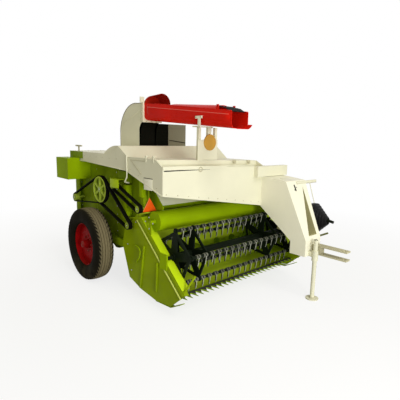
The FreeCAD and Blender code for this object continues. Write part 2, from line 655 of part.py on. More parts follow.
def hitch_hook():
    """Bent hook on the arm's foot that holds the hoses."""
    x, y = f"{ARM_X} + arm_w", aft("hook_y")
    root = rod("hook_root", "x", x, y, "hook_z", "hook_r", "pto_out")
    rise = rod("hook_rise", "z", f"{x} + pto_out", y, "hook_z", "hook_r", "8 * hook_r")
    end = rod("hook_end", "x", f"{x} + pto_out", y, "hook_z + 8 * hook_r", "hook_r", "2 * pto_out")
    return node(fuse("hitch_hook", [root, rise, end]), "hitch_hook")


# ---------------------------------------------------------------- chaff duct and spout
def duct():
    """Rectangular duct that rises from the deck and bends forward to the spout flange."""
    return node(side_cut("chaff_duct", [
        (aft("-duct_rear"), "deck_z"),
        (aft("duct_fore"), "deck_z"),
        (aft("duct_fore"), "bend_z", "inner_r", 1),
        (aft("throat_y"), "throat_z"),
        (aft("throat_y"), "throat_z + throat_h"),
        (aft("throat_y - elbow_flat"), "throat_z + throat_h", "bend_r", -1),
        (aft("-duct_rear"), "bend_z"),
    ], "duct_x", "duct_w"), "chaff_duct")


def duct_flange():
    """Bolting flange at the duct's mouth, with a lug on its near top corner."""
    frame = box("flange_plate", "duct_x - flange_w", aft("throat_y + flange_t"), "throat_z - flange_w",
                "duct_w + 2 * flange_w", "flange_t", "throat_h + 2 * flange_w")
    lug = box("flange_lug", "duct_x - lug_w", aft("throat_y + flange_t"), "throat_z + throat_h",
              "lug_w", "flange_t", "flange_w + lug_h")
    return node(fuse("flange_solid", [frame, lug]), "duct_flange")


def spout():
    """Open round-bottomed trough that lies forward on its rest, with ears for the flap."""
    start = aft("throat_y + flange_t")
    end = aft("throat_y + flange_t + spout_len")
    x0, x1 = "duct_x", "(duct_x + duct_w)"
    rings = []
    for y, z, high in ((start, "throat_z", "spout_h"), (end, "(throat_z - spout_drop)", "spout_end_h")):
        rings.append((f"-({y})", [
            (x0, f"{z} + {high}"),
            (x0, f"{z} + spout_r", "spout_r", 1),
            (f"{x0} + spout_r", z),
            (f"{x1} - spout_r", z, "spout_r", 1),
            (x1, f"{z} + spout_r"),
            (x1, f"{z} + {high}"),
            (f"{x1} - spout_wall", f"{z} + {high}"),
            (f"{x1} - spout_wall", f"{z} + spout_r", "spout_r - spout_wall", -1),
            (f"{x1} - spout_r", f"{z} + spout_wall"),
            (f"{x0} + spout_r", f"{z} + spout_wall", "spout_r - spout_wall", -1),
            (f"{x0} + spout_wall", f"{z} + spout_r"),
            (f"{x0} + spout_wall", f"{z} + {high}"),
        ]))
    trough = loft_solid("trough", "XZ_Plane", rings)
    pin_y = aft(FLAP_Y)
    ears = []
    for x, word in ((x0, "right"), (f"{x1} - spout_wall", "left")):
        ears.append(box("ear_" + word, x, f"{pin_y} - post_w / 2", f"{FLAP_Z} - flap_high - post_w",
                        "spout_wall", "post_w",
                        "flap_high + 1.5 * post_w"))
    hole = rod("ear_holes", "x", f"{x0} - 1", pin_y, FLAP_Z, "flap_pin_r + run_gap", "duct_w + 2")
    node(cut("spout", fuse("spout_solid", [trough, *ears]), hole), "spout")


def arch_shell(name, reach, rise, leg):
    """Arched sheet on the trough's walls: its reach, crest height and legs, each at its two ends."""
    slope = "(spout_drop + spout_h - spout_end_h) / spout_len"
    shells = []
    for word, wall in (("outer", "0"), ("inner", "spout_wall")):
        stations = []
        for along, high in zip(reach, rise):
            foot = f"throat_z + spout_h - {slope} * ({along})"
            half, crest = f"(duct_w / 2 - {wall})", f"({high} - {wall})"
            near, far = f"duct_x + duct_w / 2 - {half}", f"duct_x + duct_w / 2 + {half}"
            stations.append((f"-({aft(f'throat_y + flange_t + {along}')})", [
                (far, foot),
                (far, f"{foot} + {leg}", f"({crest} ^ 2 + {half} ^ 2) / (2 * {crest})", 1),
                (near, f"{foot} + {leg}"),
                (near, foot),
            ]))
        shells.append(loft_solid(f"{name}_{word}", "XZ_Plane", stations))
    return shells


def spout_hood():
    """High arch over the trough's root, closed at the flange and open on its near side."""
    outer, inner = arch_shell("hood", ("0", "arch_len"), ("arch_back", "arch_front"), "arch_foot")
    mouth = box("hood_mouth", "duct_x - spout_wall", aft("throat_y + flange_t + arch_len"), "throat_z",
                "arch_mouth + spout_wall", "arch_len - arch_rim", "2 * spout_h")
    end = box("hood_end", "duct_x", aft("throat_y + flange_t + spout_wall"), "throat_z", "duct_w",
              "spout_wall",
              "2 * spout_h")
    room = cut("hood_room", fuse("hood_voids", [inner, mouth]), end)
    return node(cut("spout_hood", outer, room), "spout_hood")


def spout_cover():
    """Low arch over the trough's outer part, rising towards the flap; the root stays open for the straw."""
    outer, inner = arch_shell("cover", ("cover_from", f"({FLAP_Y} - throat_y - flange_t - post_w)"),
                              ("cover_low", "cover_high"), "run_gap")
    return node(cut("spout_cover", outer, inner), "spout_cover")


def flap():
    """Deflector over the trough's end, hinged on a cross pin."""
    plate = side_cut("flap_plate", strip([
        (aft(FLAP_Y), f"{FLAP_Z} - flap_t / 2"),
        (aft(f"{FLAP_Y} + flap_len * 0.6"), f"{FLAP_Z} - flap_fall * 0.4"),
        (aft(f"{FLAP_Y} + flap_len"), f"{FLAP_Z} - flap_fall"),
    ], "-flap_t"), "duct_x + 2 * spout_wall", "duct_w - 4 * spout_wall")
    pin = rod("flap_pin", "x", "duct_x", aft(FLAP_Y), FLAP_Z, "flap_pin_r", "duct_w")
    return node(fuse("flap", [plate, pin]), "spout_flap")


def rest():
    """Left post and saddle that carry the spout, two supports, and the plain disc on its plate."""
    y = aft("rest_y")
    floor = "(throat_z - spout_drop * (rest_y - throat_y) / spout_len)"
    under = f"{floor} - saddle_t - 8"
    saddle = box("rest_saddle", "duct_x", f"{y} - post_w", under, "duct_w", "2 * post_w", "saddle_t")
    posts = [saddle]
    for word, x, wide in (("right", "duct_x + post_w", "post_w"),
                          ("middle", "disc_x - post_w / 2", "1.5 * post_w"),
                          ("left", "disc_x + disc_r", "post_w")):
        posts.append(box("rest_post_" + word, x, f"{y} - post_w", "ledge_z - front_deck_t / 2", wide,
                         "post_w",
                         f"{under} - ledge_z + front_deck_t / 2"))
    node(cut("spout_rest", fuse("rest_solid", posts), doc.getObject("front_deck")), "spout_rest")
    plate = box("disc_plate", "duct_x + post_w / 2", f"{y} - post_w - plate_t", "ledge_z - front_deck_t / 2",
                "disc_x + disc_r - duct_x + post_w / 2", "plate_t",
                "disc_z + disc_r / 3 - ledge_z + front_deck_t / 2")
    node(cut("disc_bracket", plate, doc.getObject("front_deck")), "disc_bracket")
    node(rod("plain_disc", "y", "disc_x", f"{y} - post_w - plate_t - disc_t", "disc_z", "disc_r", "disc_t"),
         "plain_disc")


def intake():
    """Dark intake box and the grey panel box beside it, behind the spout."""
    node(box("intake_box", "box_x", aft("box_front"), "deck_z", "box_w", "box_front + box_rear",
             "box_top - deck_z"), "intake_box")
    node(box("grey_box", "box_x + box_w", aft("box_front"), "deck_z", "grey_w", "box_front + box_rear",
             "box_top - deck_z"), "grey_box")


# ---------------------------------------------------------------- header
def header_pan():
    """Back sheet and trough in one bent sheet, from the top lip to the cutter bar."""
    return node(side_cut("header_pan", strip([
        (aft("lip_y"), "lip_z"),
        (aft("crown_y - pan_in"), "crown_z - pan_in / 2"),
        (aft("back_y + 2 * head_skin"), "back_z"),
        (aft("body_front + side_gap + head_skin"), "back_mid_z"),
        (aft("tail_y + pan_in"), "tail_z + pan_in"),
        (aft("keel_y"), "trough_z"),
        (aft("cut_y - cutbar_w"), "trough_z + pan_in"),
        (aft("cut_y - cutbar_w / 2"), "cut_z - cutbar_t - 2 - head_skin"),
        (aft("cut_y + side_t"), "cut_z - cutbar_t - 2 - head_skin"),
    ], "-head_skin"), f"{HEAD_X0} + side_t", HEAD_IN), "header_pan")


def header_sides():
    """End plates with a folded front flange, a strap for the roll, a divider rod and a skid shoe."""
    for x, word, side, turn in ((HEAD_X0, "right", 1, "0"), (f"({HEAD_X1} - side_t)", "left", -1, "1")):
        plate = side_cut("end_plate_" + word, [
            (aft("crown_y"), "crown_z"),
            (aft("back_y"), "back_z"),
            (aft("back_mid_y"), "back_mid_z"),
            (aft("tail_y"), "tail_z"),
            (aft("keel_y"), "keel_z"),
            (aft("belly_y"), "belly_z"),
            (aft("sole_y"), "sole_z"),
            (aft("nose_y"), "nose_z"),
        ], x, "side_t")
        inner = f"{x} + side_t * (1 - {turn}) - (flange_in - side_t) * {turn}"
        flange = side_cut("flange_" + word, strip([
            (aft("nose_y"), "nose_z"),
            (aft("crown_y + post_d"), "crown_z - post_d * (crown_z - nose_z) / (nose_y - crown_y)"),
        ], "-head_skin"), inner, "flange_in - side_t")
        rod_x = f"{x} + side_t / 2"
        divider = strut("divider_" + word, (rod_x, aft("nose_y - pan_in"), "nose_z"),
                        (f"{rod_x} + {side} * 3 * pan_in", aft("nose_y + pan_in"), "divider_z"), "divider_r")
        shoe_x = f"{x} + side_t * {turn} - shoe_w * {turn}" if side < 0 else x
        shoe = side_cut("shoe_" + word, strip([
            (aft("belly_y"), "belly_z - shoe_t"),
            (aft("sole_y"), "sole_z - 2 * shoe_t"),
            (aft("nose_y - 2 * pan_in"), "sole_z + 2 * pan_in"),
        ], "-shoe_t"), shoe_x, "shoe_w")
        strap = box("roll_strap_" + word, x, aft("roll_y + reel_stub_r"), "roll_z - 1.5 * roll_r",
                    "side_t", "2 * reel_stub_r", "1.5 * roll_r + reel_stub_r")
        node(fuse("header_side_" + word, [plate, flange, divider, shoe, strap]), "header_side_" + word)


def header_pivots():
    """Stub tubes that hang the header's side plates on the chassis rails."""
    y = aft("body_front - pivot_r")
    z = f"{RAIL_Z} + rail_depth / 2"
    right = rod("pivot_right", "x", f"{HEAD_X0} + side_t", y, z, "pivot_r", "head_gap - side_t")
    left = rod("pivot_left", "x", RAIL_X, y, z, "pivot_r", "head_reach - side_t")
    return node(compound("pivots", [right, left]), "header_pivots")


def header_roll():
    """Smooth tube over the reel, on stub shafts in the end plates."""
    y, z = aft("roll_y"), "roll_z"
    tube = rod("roll_tube", "x", f"{HEAD_X0} + flange_in + side_gap", y, z, "roll_r",
               f"{HEAD_X1} - {HEAD_X0} - 2 * flange_in - 2 * side_gap")
    stub = rod("roll_stub", "x", f"{HEAD_X0} + side_t", y, z, "reel_stub_r", HEAD_IN)
    return node(fuse("header_roll", [tube, stub]), "header_roll")


def cutter():
    """Cutter bar with pointed guards, and the toothed knife that lies on them."""
    guards = [box("cutter_bar", f"{HEAD_X0} + side_t", aft("cut_y + cutbar_w / 2"), "cut_z - cutbar_t - 2",
                  HEAD_IN, "cutbar_w", "cutbar_t")]
    first = f"({HEAD_X0} + side_t + guard_pitch)"
    count = int(value(f"({HEAD_IN} - guard_pitch) / guard_pitch"))
    teeth = []
    for i in range(count):
        x = f"({first} + {i} * guard_pitch)"
        guard = doc.addObject("Part::Wedge", f"guard_{i}")
        for key, text in (("Xmin", "-guard_w / 2"), ("Xmax", "guard_w / 2"), ("X2min", "-2"), ("X2max", "2"),
                          ("Ymin", "0"), ("Ymax", "guard_len"), ("Zmin", "-guard_h / 2"),
                          ("Zmax", "guard_h / 2"),
                          ("Z2min", "-2"), ("Z2max", "2")):
            guard.setExpression(key, bound(text))
        place(guard, x, aft("cut_y + side_t"), "cut_z - side_gap", ((0, 0, 1), 180))
        guards.append(guard)
        teeth += [(f"{x} - guard_pitch / 2", aft("cut_y + knife_w")),
                  (x, aft("cut_y + knife_w + knife_tooth"))]
    node(fuse("knife_guards", guards), "knife_guards")
    last = f"({first} + {count} * guard_pitch - guard_pitch / 2)"
    owner = body("knife")
    sk = sketch(owner, "XY_Plane", "cut_z - side_gap + guard_h / 2 + run_gap")
    outline(sk, [(f"{first} - guard_pitch / 2", aft("cut_y")), *teeth, (last, aft("cut_y + knife_w")),
                 (last, aft("cut_y"))])
    pad(owner, sk, "knife_t")
    node(owner, "knife")


def auger():
    """Cross auger behind the reel: tube on stub shafts, with right and left flights that feed inwards."""
    y, z = aft("auger_y"), "auger_z"
    tube = rod("auger_tube", "x", f"{HEAD_X0} + side_t + auger_gap", y, z, "auger_r",
               f"{HEAD_IN} - 2 * auger_gap")
    stubs = rod("auger_stub", "x", f"{HEAD_X0} + side_t + run_gap", y, z, "reel_stub_r",
                f"{HEAD_IN} - 2 * run_gap")
    flights = []
    for word, start, left in (("right", f"{HEAD_X0} + side_t + auger_gap + flight_t", False),
                              ("left", f"{HEAD_X0} + side_t + {HEAD_IN} / 2 + flight_t", True)):
        owner = body("flight_" + word)
        sk = outline(sketch(owner, "XZ_Plane"), [
            ("auger_r - flight_t", "0"),
            ("flight_r", "0"),
            ("flight_r", "flight_t"),
            ("auger_r - flight_t", "flight_t"),
        ])
        helix = owner.newObject("PartDesign::AdditiveHelix", "helix_" + word)
        helix.Profile = sk
        helix.ReferenceAxis = (sk, ["V_Axis"])
        helix.Mode = "pitch-height-angle"
        helix.setExpression("Pitch", bound("flight_pitch"))
        helix.setExpression("Height", bound(f"{HEAD_IN} / 2 - 2 * auger_gap - 2 * flight_t"))
        helix.LeftHanded = left
        owner.Tip = helix
        place(owner, start, y, z, TURNS["x"])
        flights.append(owner)
    return node(fuse("auger", [tube, stubs, *flights]), "auger")


# ---------------------------------------------------------------- reel
def on_reel(reach, angle):
    """Y and Z of a place on the reel, from its axis."""
    return (f"axle_y - reel_y + ({reach}) * cos({angle:.3f} deg)",
            f"reel_z + ({reach}) * sin({angle:.3f} deg)")


def reel():
    """Centre tube with four spiders, and five tine bars that turn in the spiders' bosses."""
    centre = (aft("reel_y"), "reel_z")
    tube = rod("reel_tube", "x", REEL_X0, *centre, "reel_tube_r", f"{REEL_X1} - {REEL_X0}")
    stub = rod("reel_stub", "x", f"{HEAD_X0} + run_gap", *centre, "reel_stub_r",
               f"{HEAD_X1} - {HEAD_X0} - 2 * run_gap")
    count = int(value("reel_bars"))
    angles = [value("reel_phase") + 360 / count * i for i in range(count)]
    bores = []
    for i, angle in enumerate(angles, start=1):
        y, z = on_reel("reel_r", angle)
        bores.append(rod(f"bar_bore_{i}", "x", f"{REEL_X0} - 1", y, z, "reel_bar_r + run_gap",
                         f"{REEL_X1} - {REEL_X0} + 2"))
        pieces = [rod(f"bar_{i}", "x", REEL_X0, y, z, "reel_bar_r", f"{REEL_X1} - {REEL_X0}")]
        steps = int(value(f"({REEL_X1} - {REEL_X0} - 2 * tine_in) / tine_pitch"))
        for j in range(steps + 1):
            pieces.append(box(f"tine_{i}_{j}", f"{REEL_X0} + tine_in + {j} * tine_pitch - tine_t / 2",
                              f"{y} - tine_t / 2",
                              f"{z} - tine_reach", "tine_t", "tine_t", "tine_reach"))
        node(fuse(f"tine_bar_{i}", pieces), f"tine_bar_{i}")
    spiders = []
    for k, x in enumerate((f"{REEL_X0} + spider_t", f"{REEL_X0} + spider_in", f"{REEL_X1} - spider_in_left",
                           f"{REEL_X1} - 2 * spider_t")):
        spiders.append(spider(f"spider_{k}", x, angles))
    node(cut("reel_frame", fuse("reel_solid", [tube, stub, *spiders]), compound("bar_bores", bores)),
         "reel_frame")


def spider(name, x, angles):
    """Five-sided frame with an arm and a boss for each tine bar."""
    owner = body(name)
    sk = sketch(owner, "YZ_Plane", x)
    outline(sk, [on_reel("reel_r", angle) for angle in angles])
    half = 180 / len(angles)
    for angle in angles:
        window = []
        for reach, turn in (("reel_tube_r + spider_w", half), ("reel_r - 1.6 * spider_w", half * 0.3),
                            ("reel_r - 1.6 * spider_w", half * 1.7)):
            window.append(on_reel(reach, angle + turn))
        outline(sk, window)
    pad(owner, sk, "spider_t")
    bosses = [owner]
    for i, angle in enumerate(angles):
        y, z = on_reel("reel_r", angle)
        bosses.append(rod(f"{name}_boss_{i}", "x", x, y, z, "boss_r", "spider_t"))
    return fuse(name + "_solid", bosses)


def reel_arms():
    """Bearing plates that hold the reel on the header's end plates."""
    y, z = aft("reel_y"), "reel_z"
    plates = []
    for x, word in ((f"{HEAD_X0} - arm_plate_t", "right"), (HEAD_X1, "left")):
        plates.append(box("arm_plate_" + word, x, f"{y} - arm_plate_w / 4", f"{z} - arm_plate_w",
                          "arm_plate_t", "arm_plate_w", "1.4 * arm_plate_w"))
    return node(compound("arm_plates", plates), "reel_arms")


# ---------------------------------------------------------------- belt drive on the right side
def pulleys():
    """Spoked main pulley and the small ones, each on its shaft."""
    y, z = aft("pulley_y"), PULLEY_Z
    owner = body("main_pulley")
    sk = circle(sketch(owner, "YZ_Plane", DRIVE_X), y, z, "pulley_r")
    count = int(value("spokes"))
    near, far = "(pulley_hub)", "(pulley_r - pulley_rim)"
    for i in range(count):
        window = []
        for reach, way in ((near, -1), (far, -1), (far, 1), (near, 1)):
            lean = 180 / count - math.degrees(math.asin(value("spoke_w") / 2 / value(reach)))
            angle = 360 / count * i + way * lean
            point = (f"{y} + {reach} * cos({angle:.4f} deg)", f"{z} + {reach} * sin({angle:.4f} deg)")
            window.append(point)
        window[1] = (*window[1], "pulley_r - pulley_rim", 1)
        window[3] = (*window[3], "pulley_hub", -1)
        outline(sk, window)
    pad(owner, sk, "pulley_w")
    shaft = rod("main_shaft", "x", DRIVE_X, y, z, "shaft_r", f"-half_body - {DRIVE_X}")
    wheels = [fuse("main_drive", [owner, shaft])]
    for word, y, z, r, inner in (
            ("rear", aft("rear_pulley_y"), REAR_PULLEY_Z, "idler_r", "-half_body"),
            ("jack", aft("jack_pulley_y"), "jack_pulley_z", "small_r", "-half_body - frame_t"),
            ("roll", aft("roll_pulley_y"), "roll_pulley_z", "small_r", "-half_body - frame_t - post_d"),
            ("low", aft("low_pulley_y"), "low_pulley_z", "small_r", HEAD_X0)):
        wheel_part = rod(f"{word}_pulley", "x", DRIVE_X, y, z, r, "pulley_w")
        axle_part = rod(f"{word}_shaft", "x", DRIVE_X, y, z, "shaft_r", f"{inner} - {DRIVE_X}")
        wheels.append(fuse(f"{word}_drive", [wheel_part, axle_part]))
    return node(compound("pulleys", wheels), "drive_pulleys")


def belts():
    """Closed belts between the pulleys."""
    main = (aft("pulley_y"), PULLEY_Z, "pulley_r")
    runs = (
        ("rear", main, (aft("rear_pulley_y"), REAR_PULLEY_Z, "idler_r")),
        ("low", main, (aft("low_pulley_y"), "low_pulley_z", "small_r")),
        ("roll", (aft("jack_pulley_y"), "jack_pulley_z", "small_r"),
         (aft("roll_pulley_y"), "roll_pulley_z", "small_r")),
    )
    loops = []
    for word, a, b in runs:
        owner = body("belt_" + word)
        sk = sketch(owner, "YZ_Plane", DRIVE_X)
        wire_loop(sk, (a, b), "belt_t")
        wire_loop(sk, (a, b), "0")
        pad(owner, sk, "belt_w")
        loops.append(owner)
    node(compound("drive_belts_all", loops), "drive_belts")


def side_frame():
    """Plate on the housing's side that carries the drive, with the post that stands on the header's lip."""
    x = "-half_body - frame_t"
    plate = side_cut("frame_plate", [
        (aft("plate_back"), "skirt_mid_z"),
        (aft("crown_y"), "skirt_mid_z"),
        (aft("lip_y"), "skirt_mid_z - 1.5 * rail_depth"),
        (aft("lip_y"), "lip_z + pan_in"),
        (aft("crown_y"), "crown_z + pan_in"),
        (aft("body_front"), "back_z + rail_depth"),
        (aft("plate_back"), "back_z + rail_depth"),
    ], x, "frame_t")
    post = side_cut("frame_post", [
        (aft("crown_y - post_d / 2"), "skirt_mid_z - rail_w"),
        (aft("lip_y - post_d"), "lip_z + head_skin"),
        (aft("lip_y"), "lip_z + head_skin"),
        (aft("crown_y + post_d / 2"), "skirt_mid_z - rail_w"),
    ], f"{x} - post_d", "post_d")
    block = box("drive_block", f"{x} - 1.5 * post_d", aft("body_front + rail_depth"), "block_z + small_r",
                "1.5 * post_d", "2.4 * rail_depth", "block_h")
    gusset = side_cut("frame_gusset", [
        (aft("crown_y - post_d"), "skirt_mid_z - rail_depth"),
        (aft("crown_y"), "skirt_front_z"),
        (aft("gusset_mid"), "gusset_mid_z"),
        (aft("gusset_fore"), "lip_z + rail_w"),
        (aft("gusset_fore"), "lip_z + pan_in"),
        (aft("lip_y"), "lip_z + side_gap"),
        (aft("crown_y - post_d"), "lip_z + side_gap"),
    ], "-half_body + rail_depth", "frame_t")
    solid = fuse("frame_solid", [plate, post, block, gusset])
    return node(cut("side_frame", solid, doc.getObject("front_wall")), "side_frame")


def guard_box():
    """Belt guard box at the rear right corner, under the deck's overhang, with the handle above."""
    fore, depth = aft("-guard_box_fore"), "guard_box_rear - guard_box_fore"
    outer = box("guard_outer", f"-{DECK_X} - guard_out", fore, "guard_box_z", "guard_out", depth,
                "sill_z - guard_box_z")
    inner = box("guard_inner", f"-{DECK_X}", fore, "guard_box_z", "deck_over", "body_rear - guard_box_fore",
                "body_top - guard_box_z")
    x, y = f"-{DECK_X} + rail_w", aft("handle_y")
    stem = rod("handle_stem", "z", x, y, "deck_z", "handle_r", "handle_top - deck_z")
    grip = rod("handle_grip", "y", x, f"{y} - rail_depth", "handle_top", "handle_r", "2 * rail_depth")
    return node(fuse("guard_parts", [outer, inner, stem, grip]), "guard_box")


def reflector():
    """Plain triangular reflector on the header's right corner, facing forward."""
    owner = body("reflector")
    x = f"({HEAD_X0} - side_gap)"
    outline(sketch(owner, "XZ_Plane", f"-({aft('lip_y')})"), [
        (x, "lip_z + head_skin"),
        (f"{x} + reflector_w", "lip_z + head_skin"),
        (f"{x} + reflector_w / 2", "lip_z + head_skin + reflector_h"),
    ])
    pad(owner, owner.Group[-1], "reflector_t")
    return node(owner, "reflector")


for side, word in ((-1, "right"), (1, "left")):
    wheel(side, word)
for build in (axle, housing, chassis, deck, side_panels, drum_hood, front_deck, front_panel, front_wall,
              arm_beam, draft_arm, root_box, clevis, jack, driveline, hitch_hook, duct, duct_flange, spout,
              spout_hood, spout_cover, flap, rest, intake, header_pan, header_sides, header_pivots,
              header_roll, cutter,
              auger, reel, reel_arms, pulleys, belts, side_frame, guard_box, reflector):
    build()

doc.recompute()
for obj in doc.Objects:
    if "Invalid" in obj.State or "Error" in obj.State:
        raise RuntimeError(f"{obj.Label} did not build")
for obj in NODES:
    if obj.Shape.isNull() or not obj.Shape.isValid():
        raise RuntimeError(f"{obj.Label} has no sound shape")
    obj.Shape.exportStep(f"parts/{obj.Label}.step")
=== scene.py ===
import math

import bmesh
import bpy
import numpy as np
from mathutils import Matrix, Vector


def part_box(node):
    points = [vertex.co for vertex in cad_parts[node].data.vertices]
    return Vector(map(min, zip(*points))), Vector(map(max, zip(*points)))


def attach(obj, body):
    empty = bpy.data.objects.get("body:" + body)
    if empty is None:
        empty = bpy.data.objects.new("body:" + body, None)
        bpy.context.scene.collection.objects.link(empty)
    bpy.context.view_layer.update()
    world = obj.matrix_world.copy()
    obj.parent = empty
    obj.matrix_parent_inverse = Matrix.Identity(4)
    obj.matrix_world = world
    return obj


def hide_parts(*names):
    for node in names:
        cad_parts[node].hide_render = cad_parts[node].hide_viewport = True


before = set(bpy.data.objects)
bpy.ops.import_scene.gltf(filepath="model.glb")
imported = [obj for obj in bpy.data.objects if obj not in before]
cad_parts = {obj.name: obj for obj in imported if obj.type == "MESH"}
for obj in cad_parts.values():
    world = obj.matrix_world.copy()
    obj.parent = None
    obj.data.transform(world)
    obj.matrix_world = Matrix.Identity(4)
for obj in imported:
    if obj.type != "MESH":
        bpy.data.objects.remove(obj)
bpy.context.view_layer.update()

# ------------------------ tyres
# Implement tyres of 0.94 m: black rubber gone grey-brown with field dust on the tread.
# Four grooves run round the tread, and slanted cuts break its ribs.

# Cells of noise per metre: broad tone, wear of the gloss, dust, soil, and the sheet's waves.
TONE_SCALE, WEAR_SCALE, DUST_SCALE, SOIL_SCALE, WAVE_SCALE = 2.3, 5.0, 7.0, 11.0, 4.5
FIELD_DUST = (0.36, 0.31, 0.22)


def feed(tree, socket, value):
    """Links a socket, or sets it to a number, a vector or an opaque colour."""
    if isinstance(value, bpy.types.NodeSocket):
        tree.links.new(value, socket)
    else:
        socket.default_value = (*value, 1.0) if socket.type == "RGBA" else value


def add_node(tree, kind, sockets, output=0, **settings):
    """Output of a new node with these sockets and settings."""
    made = tree.nodes.new("ShaderNode" + kind)
    for key, value in settings.items():
        setattr(made, key, value)
    for key, value in sockets.items():
        feed(tree, made.inputs[key], value)
    return made.outputs[output]


def finish(name, colour, rough, coat=0.0, metal=0.0, tint=0.08, dust=0.25, soil=0.0, soil_top=0.9, wave=0.0,
           grain=0.0, grain_scale=160.0, dust_colour=FIELD_DUST, centre=None, rings=None, gloss=0.05):
    """Finish of one coat of paint, rubber or metal, in object coordinates.
    Colour is shifted by broad noise, covered by dust where faces look up, and by soil near the ground.
    Bump is broad waves of the sheet plus the fine grain of the coat. rings = (r0, r1, colour) adds
    another colour outside a radius about centre's X axis. gloss is the strength of the plain reflection."""
    mat = bpy.data.materials.new(name)
    mat.use_nodes = True
    tree = mat.node_tree
    shader = tree.nodes["Principled BSDF"]
    plain = {"Metallic": metal, "Coat Weight": coat, "Coat Roughness": 0.12, "Specular IOR Level": gloss}
    for key, value in plain.items():
        feed(tree, shader.inputs[key], value)

    def node(*spec, **settings):
        return add_node(tree, *spec, **settings)

    def noise(scale, detail=3.0):
        return node("TexNoise", {"Vector": place, "Scale": scale, "Detail": detail}, "Fac")

    def ramp(value, low, high, start=0.0, end=1.0):
        return node("MapRange", {0: value, 1: low, 2: high, 3: start, 4: end})

    def times(first, second):
        return node("Math", {0: first, 1: second}, operation="MULTIPLY")

    def blend(factor, first, second):
        return node("Mix", {0: factor, 6: first, 7: second}, 2, data_type="RGBA")

    def bump(scale, distance, below):
        sockets = {"Height": noise(scale, 2.0), "Strength": 1.0, "Distance": distance}
        return node("Bump", {**sockets, "Normal": below} if below else sockets)

    place = node("TexCoord", {}, "Object")
    deep = tuple(c * (1 - 2 * tint) for c in colour)
    pale = tuple(min(1.0, c * (1 + tint)) for c in colour)
    shade = blend(ramp(noise(TONE_SCALE), 0.3, 0.7), deep, pale)
    if rings:
        flat = node("VectorMath", {0: place, 1: centre}, operation="SUBTRACT")
        flat = node("VectorMath", {0: flat, 1: (0, 1, 1)}, operation="MULTIPLY")
        reach = node("VectorMath", {0: flat}, "Value", operation="LENGTH")
        shade = blend(ramp(reach, rings[0], rings[1]), shade, rings[2])
    up = node("SeparateXYZ", {0: node("NewGeometry", {}, "Normal")}, 2)
    patches = ramp(noise(DUST_SCALE, 6.0), 0.36, 0.66)
    shade = blend(times(times(ramp(up, 0.1, 0.95, 0.18, 1.0), patches), dust), shade, dust_colour)
    if soil:
        height = node("SeparateXYZ", {0: place}, 2)
        patches = ramp(noise(SOIL_SCALE, 8.0), 0.35, 0.62)
        shade = blend(times(times(ramp(height, soil_top, 0.05), patches), soil), shade, dust_colour)
    feed(tree, shader.inputs["Base Color"], shade)
    worn = ramp(noise(WEAR_SCALE, 5.0), 0.35, 0.7, max(0.03, rough - 0.06), rough + 0.14)
    feed(tree, shader.inputs["Roughness"], worn)
    surface = bump(WAVE_SCALE, wave, None) if wave else None
    if grain:
        surface = bump(grain_scale, grain, surface)
    if surface:
        feed(tree, shader.inputs["Normal"], surface)
    return mat


def placed(name, data):
    """New object of a mesh, a lamp or a camera, in the scene."""
    made = bpy.data.objects.new(name, data)
    bpy.context.scene.collection.objects.link(made)
    return made


def piece(name, parts, materials, body="frame", crease=35.0):
    """Joins grids of points into one closed mesh on a body.
    A part is (points, wrap_u, wrap_v[, material]); points are (u, v, 3), or (copies, u, v, 3).
    Equal points are merged, which closes seams and poles, and normals are turned outwards."""
    spots, faces, marks, base = [], [], [], 0
    for part in parts:
        grid = np.asarray(part[0], float)
        grid = grid[None] if grid.ndim == 3 else grid
        copies, nu, nv = grid.shape[:3]
        cells_u, cells_v = nu - (not part[1]), nv - (not part[2])
        u, v = np.meshgrid(np.arange(cells_u), np.arange(cells_v), indexing="ij")
        u1, v1 = (u + 1) % nu, (v + 1) % nv
        quad = np.stack([u * nv + v, u1 * nv + v, u1 * nv + v1, u * nv + v1], -1).reshape(-1, 4)
        shift = (np.arange(copies) * nu * nv)[:, None, None]
        faces.append((quad[None] + shift).reshape(-1, 4) + base)
        marks.append(np.full(len(quad) * copies, part[3] if len(part) > 3 else 0))
        spots.append(grid.reshape(-1, 3))
        base += copies * nu * nv
    mesh = bpy.data.meshes.new(name)
    mesh.from_pydata(np.concatenate(spots).tolist(), [], np.concatenate(faces).tolist())
    mesh.polygons.foreach_set("material_index", np.concatenate(marks))
    work = bmesh.new()
    work.from_mesh(mesh)
    bmesh.ops.remove_doubles(work, verts=work.verts, dist=2e-5)
    bmesh.ops.recalc_face_normals(work, faces=work.faces)
    work.to_mesh(mesh)
    work.free()
    mesh.polygons.foreach_set("use_smooth", np.ones(len(mesh.polygons), bool))
    mesh.set_sharp_from_angle(angle=math.radians(crease))
    for mat in materials:
        mesh.materials.append(mat)
    made = placed(name, mesh)
    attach(made, body)
    return made


def circle(count):
    """Angles of points spread evenly round a circle."""
    return np.arange(count) * 2 * np.pi / count


def spun(centre, profile, steps, relief=None):
    """Surface of revolution about an X axis: point(a, s) = centre + (x(s), r cos a, r sin a),
    with r = r(s) - relief(a, x)."""
    profile = np.asarray(profile, float)
    angle = circle(steps)[:, None]
    x, radius = profile[:, 0] + 0 * angle, profile[:, 1] + 0 * angle
    if relief is not None:
        radius = radius - relief(angle, x)
    return np.stack([x, radius * np.cos(angle), radius * np.sin(angle)], -1) + centre


def soft_step(value, edge, width):
    """Rises from 0 to 1 over width about edge, as a straight ramp."""
    return np.clip((value - edge) / width + 0.5, 0, 1)


TREAD_BLOCKS = 52


